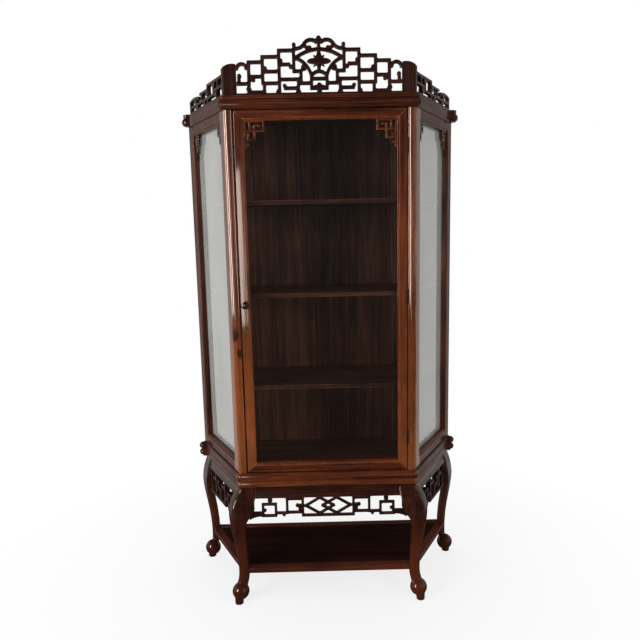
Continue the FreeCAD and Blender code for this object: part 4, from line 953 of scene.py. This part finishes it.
def surroundings(context):
    """White behind the cabinet, pale sides in the gloss, an even dim light for the rest."""
    world = bpy.data.worlds.new("surroundings")
    context.scene.world = world
    world.use_nodes = True
    tree = world.node_tree
    tree.nodes.clear()
    path = add(tree, "ShaderNodeLightPath").outputs
    direction = add(tree, "ShaderNodeTexCoord").outputs["Generated"]
    parts = add(tree, "ShaderNodeSeparateXYZ", {"Vector": direction}).outputs
    sideways = ranged(tree, maths(tree, "ABSOLUTE", parts["X"], 0.0), *PALE_ASIDE, 0.0, 1.0)
    level = ranged(tree, maths(tree, "ABSOLUTE", parts["Z"], 0.0), *PALE_UP, 1.0, 0.0)
    aside = maths(tree, "MULTIPLY", sideways, level)
    behind = ranged(tree, parts["Y"], *BEHIND, 0.0, 1.0)
    through = maths(tree, "MULTIPLY", path["Is Transmission Ray"], behind)
    tones = context.scene.cabinet_colours
    mirrored = mixed(tree, aside, opaque(tones.ends_in_gloss), opaque(tones.sides_in_gloss))
    colour = mixed(tree, path["Is Glossy Ray"], opaque(tones.surroundings), mirrored)
    seen = maths(tree, "MAXIMUM", path["Is Camera Ray"], through)
    colour = mixed(tree, seen, colour, WHITE)
    light = add(tree, "ShaderNodeBackground", {"Color": colour, "Strength": 1.0})
    add(tree, "ShaderNodeOutputWorld", {"Surface": light.outputs[0]})


# The floor, in metres from its middle: where its shadows begin to fade and are gone, where gloss
# begins to show it pale and does so wholly, and the same for its depth towards the camera
FADE, PALE_ROUND, PALE_DEPTH = (0.45, 1.4), (0.9, 1.5), (-1.2, -0.8)
# Share of plain white in the floor by the legs, the most of its mottle and the mottle's tone
FLOOR_WHITE, MOTTLE, MOTTLE_TONE = 0.80, 0.06, 0.93
FLOOR_ROUGH, FLOOR_GLOSS = 0.75, 0.2
# How far the floor lies under the feet, in metres
FLOOR_GAP = 0.0005


def floor_material():
    """Pale floor: white further off; to gloss it glows as a painted reflection, dim near the legs and pale
    behind.
    """
    tones = bpy.context.scene.cabinet_colours
    material, tree = blank("pale-floor")
    here = object_place(tree)
    mottle = clouds(tree, here, FLOOR_MOTTLE, 0.0, MOTTLE)
    tint = mixed(tree, mottle, opaque(tones.floor), opaque(tones.floor, MOTTLE_TONE))
    matt = add(tree, "ShaderNodeBsdfPrincipled", {"Base Color": tint, "Roughness": FLOOR_ROUGH,
                                                  "Specular IOR Level": FLOOR_GLOSS})
    away = add(tree, "ShaderNodeVectorMath", {0: here}, operation="LENGTH").outputs["Value"]
    path = add(tree, "ShaderNodeLightPath").outputs
    seen = maths(tree, "MAXIMUM", path["Is Camera Ray"], path["Is Transmission Ray"])
    share = maths(tree, "MULTIPLY", seen, ranged(tree, away, *FADE, FLOOR_WHITE, 1.0))
    white = add(tree, "ShaderNodeEmission", {"Color": WHITE, "Strength": 1.0})
    lit = add(tree, "ShaderNodeMixShader", {0: share, 1: matt.outputs[0], 2: white.outputs[0]})
    # Painted reflection: gloss sees the floor glow dim round the legs and pale further back, not its lit
    # colour
    depth = add(tree, "ShaderNodeSeparateXYZ", {"Vector": here}).outputs["Y"]
    beyond = ranged(tree, depth, *PALE_DEPTH, 0.0, 1.0)
    pale = maths(tree, "MULTIPLY", beyond, ranged(tree, away, *PALE_ROUND, 0.0, 1.0))
    mirrored = mixed(tree, pale, opaque(tones.painted_floor_reflection), opaque(tones.sides_in_gloss))
    dim = add(tree, "ShaderNodeEmission", {"Color": mirrored, "Strength": 1.0})
    past_glass = maths(tree, "MULTIPLY", path["Is Transmission Ray"], beyond)
    painted_reflection_share = maths(tree, "SUBTRACT", path["Is Glossy Ray"], past_glass)
    shaded(tree, add(tree, "ShaderNodeMixShader", {0: painted_reflection_share, 1: lit.outputs[0], 2: dim.outputs[0]}))
    return material


def camera_axes(tilt, roll, turn):
    """Right, up and forward of the camera."""
    right = Vector((math.cos(roll), math.sin(tilt) * math.sin(roll), math.cos(tilt) * math.sin(roll)))
    up = Vector((-math.sin(roll), math.sin(tilt) * math.cos(roll), math.cos(tilt) * math.cos(roll)))
    forward = Vector((0, math.cos(tilt), -math.sin(tilt)))
    aside = Matrix.Rotation(turn, 3, "Z")
    return [aside @ axis for axis in (right, up, forward)]


class CABINET_OT_stage(bpy.types.Operator):
    """Pale floor, soft lamps, surroundings and camera"""
    bl_idname = "cabinet.stage"
    bl_label = "Stage"

    def execute(self, context):
        sizes = context.scene.cabinet_sizes
        deselect()
        bpy.ops.mesh.primitive_plane_add(size=sizes.floor_size, location=(0, 0, -FLOOR_GAP))
        floor = context.object
        floor.name = "floor"
        bpy.ops.object.transform_apply(location=True, rotation=True, scale=True)
        floor.data.materials.append(floor_material())
        for lamp in SOFT_LAMPS:
            soft_lamp(*lamp)
        for lamp in GLOSS_LAMPS:
            gloss_lamp(*lamp)
        surroundings(context)
        bpy.ops.object.camera_add(location=sizes.camera_place)
        camera = context.object
        camera.name = "camera"
        right, up, forward = camera_axes(*sizes.camera_turn)
        turned = Matrix((right, up, -forward)).transposed().to_4x4()
        camera.matrix_world = Matrix.Translation(Vector(sizes.camera_place)) @ turned
        camera.data.lens = sizes.lens
        camera.data.shift_x, camera.data.shift_y = sizes.camera_shift
        context.scene.camera = camera
        context.scene.view_settings.view_transform = "Standard"
        return {"FINISHED"}


# Panel and registration

STEPS = (CABINET_OT_legs, CABINET_OT_stand_rails, CABINET_OT_aprons, CABINET_OT_lower_shelf,
         CABINET_OT_waist, CABINET_OT_cornice, CABINET_OT_posts, CABINET_OT_side_frames,
         CABINET_OT_inside, CABINET_OT_gallery, CABINET_OT_door_frame, CABINET_OT_brackets,
         CABINET_OT_knob, CABINET_OT_ironwork, CABINET_OT_stage)


class CABINET_PT_pieces(bpy.types.Panel):
    """The cabinet's pieces, in the order in which they are made"""
    bl_label = "Cabinet"
    bl_idname = "CABINET_PT_pieces"
    bl_space_type = "VIEW_3D"
    bl_region_type = "UI"
    bl_category = "Cabinet"

    def draw(self, context):
        for step in STEPS:
            self.layout.operator(step.bl_idname)
        for group in (context.scene.cabinet_sizes, context.scene.cabinet_colours):
            for name in group.bl_rna.properties.keys():
                if name not in ("rna_type", "name"):
                    self.layout.prop(group, name)


def register():
    """Register the add-on's classes and its sizes and colours."""
    for kind in (CabinetSizes, CabinetColours, *STEPS, CABINET_PT_pieces):
        bpy.utils.register_class(kind)
    bpy.types.Scene.cabinet_sizes = bpy.props.PointerProperty(type=CabinetSizes)
    bpy.types.Scene.cabinet_colours = bpy.props.PointerProperty(type=CabinetColours)


def unregister():
    """Take away what register adds."""
    del bpy.types.Scene.cabinet_sizes
    del bpy.types.Scene.cabinet_colours
    for kind in (CABINET_PT_pieces, *reversed(STEPS), CabinetColours, CabinetSizes):
        bpy.utils.unregister_class(kind)


def main():
    """Make the whole cabinet and its stage."""
    register()
    for step in STEPS:
        getattr(bpy.ops.cabinet, step.bl_idname.split(".")[1])()


if __name__ == "__main__":
    main()
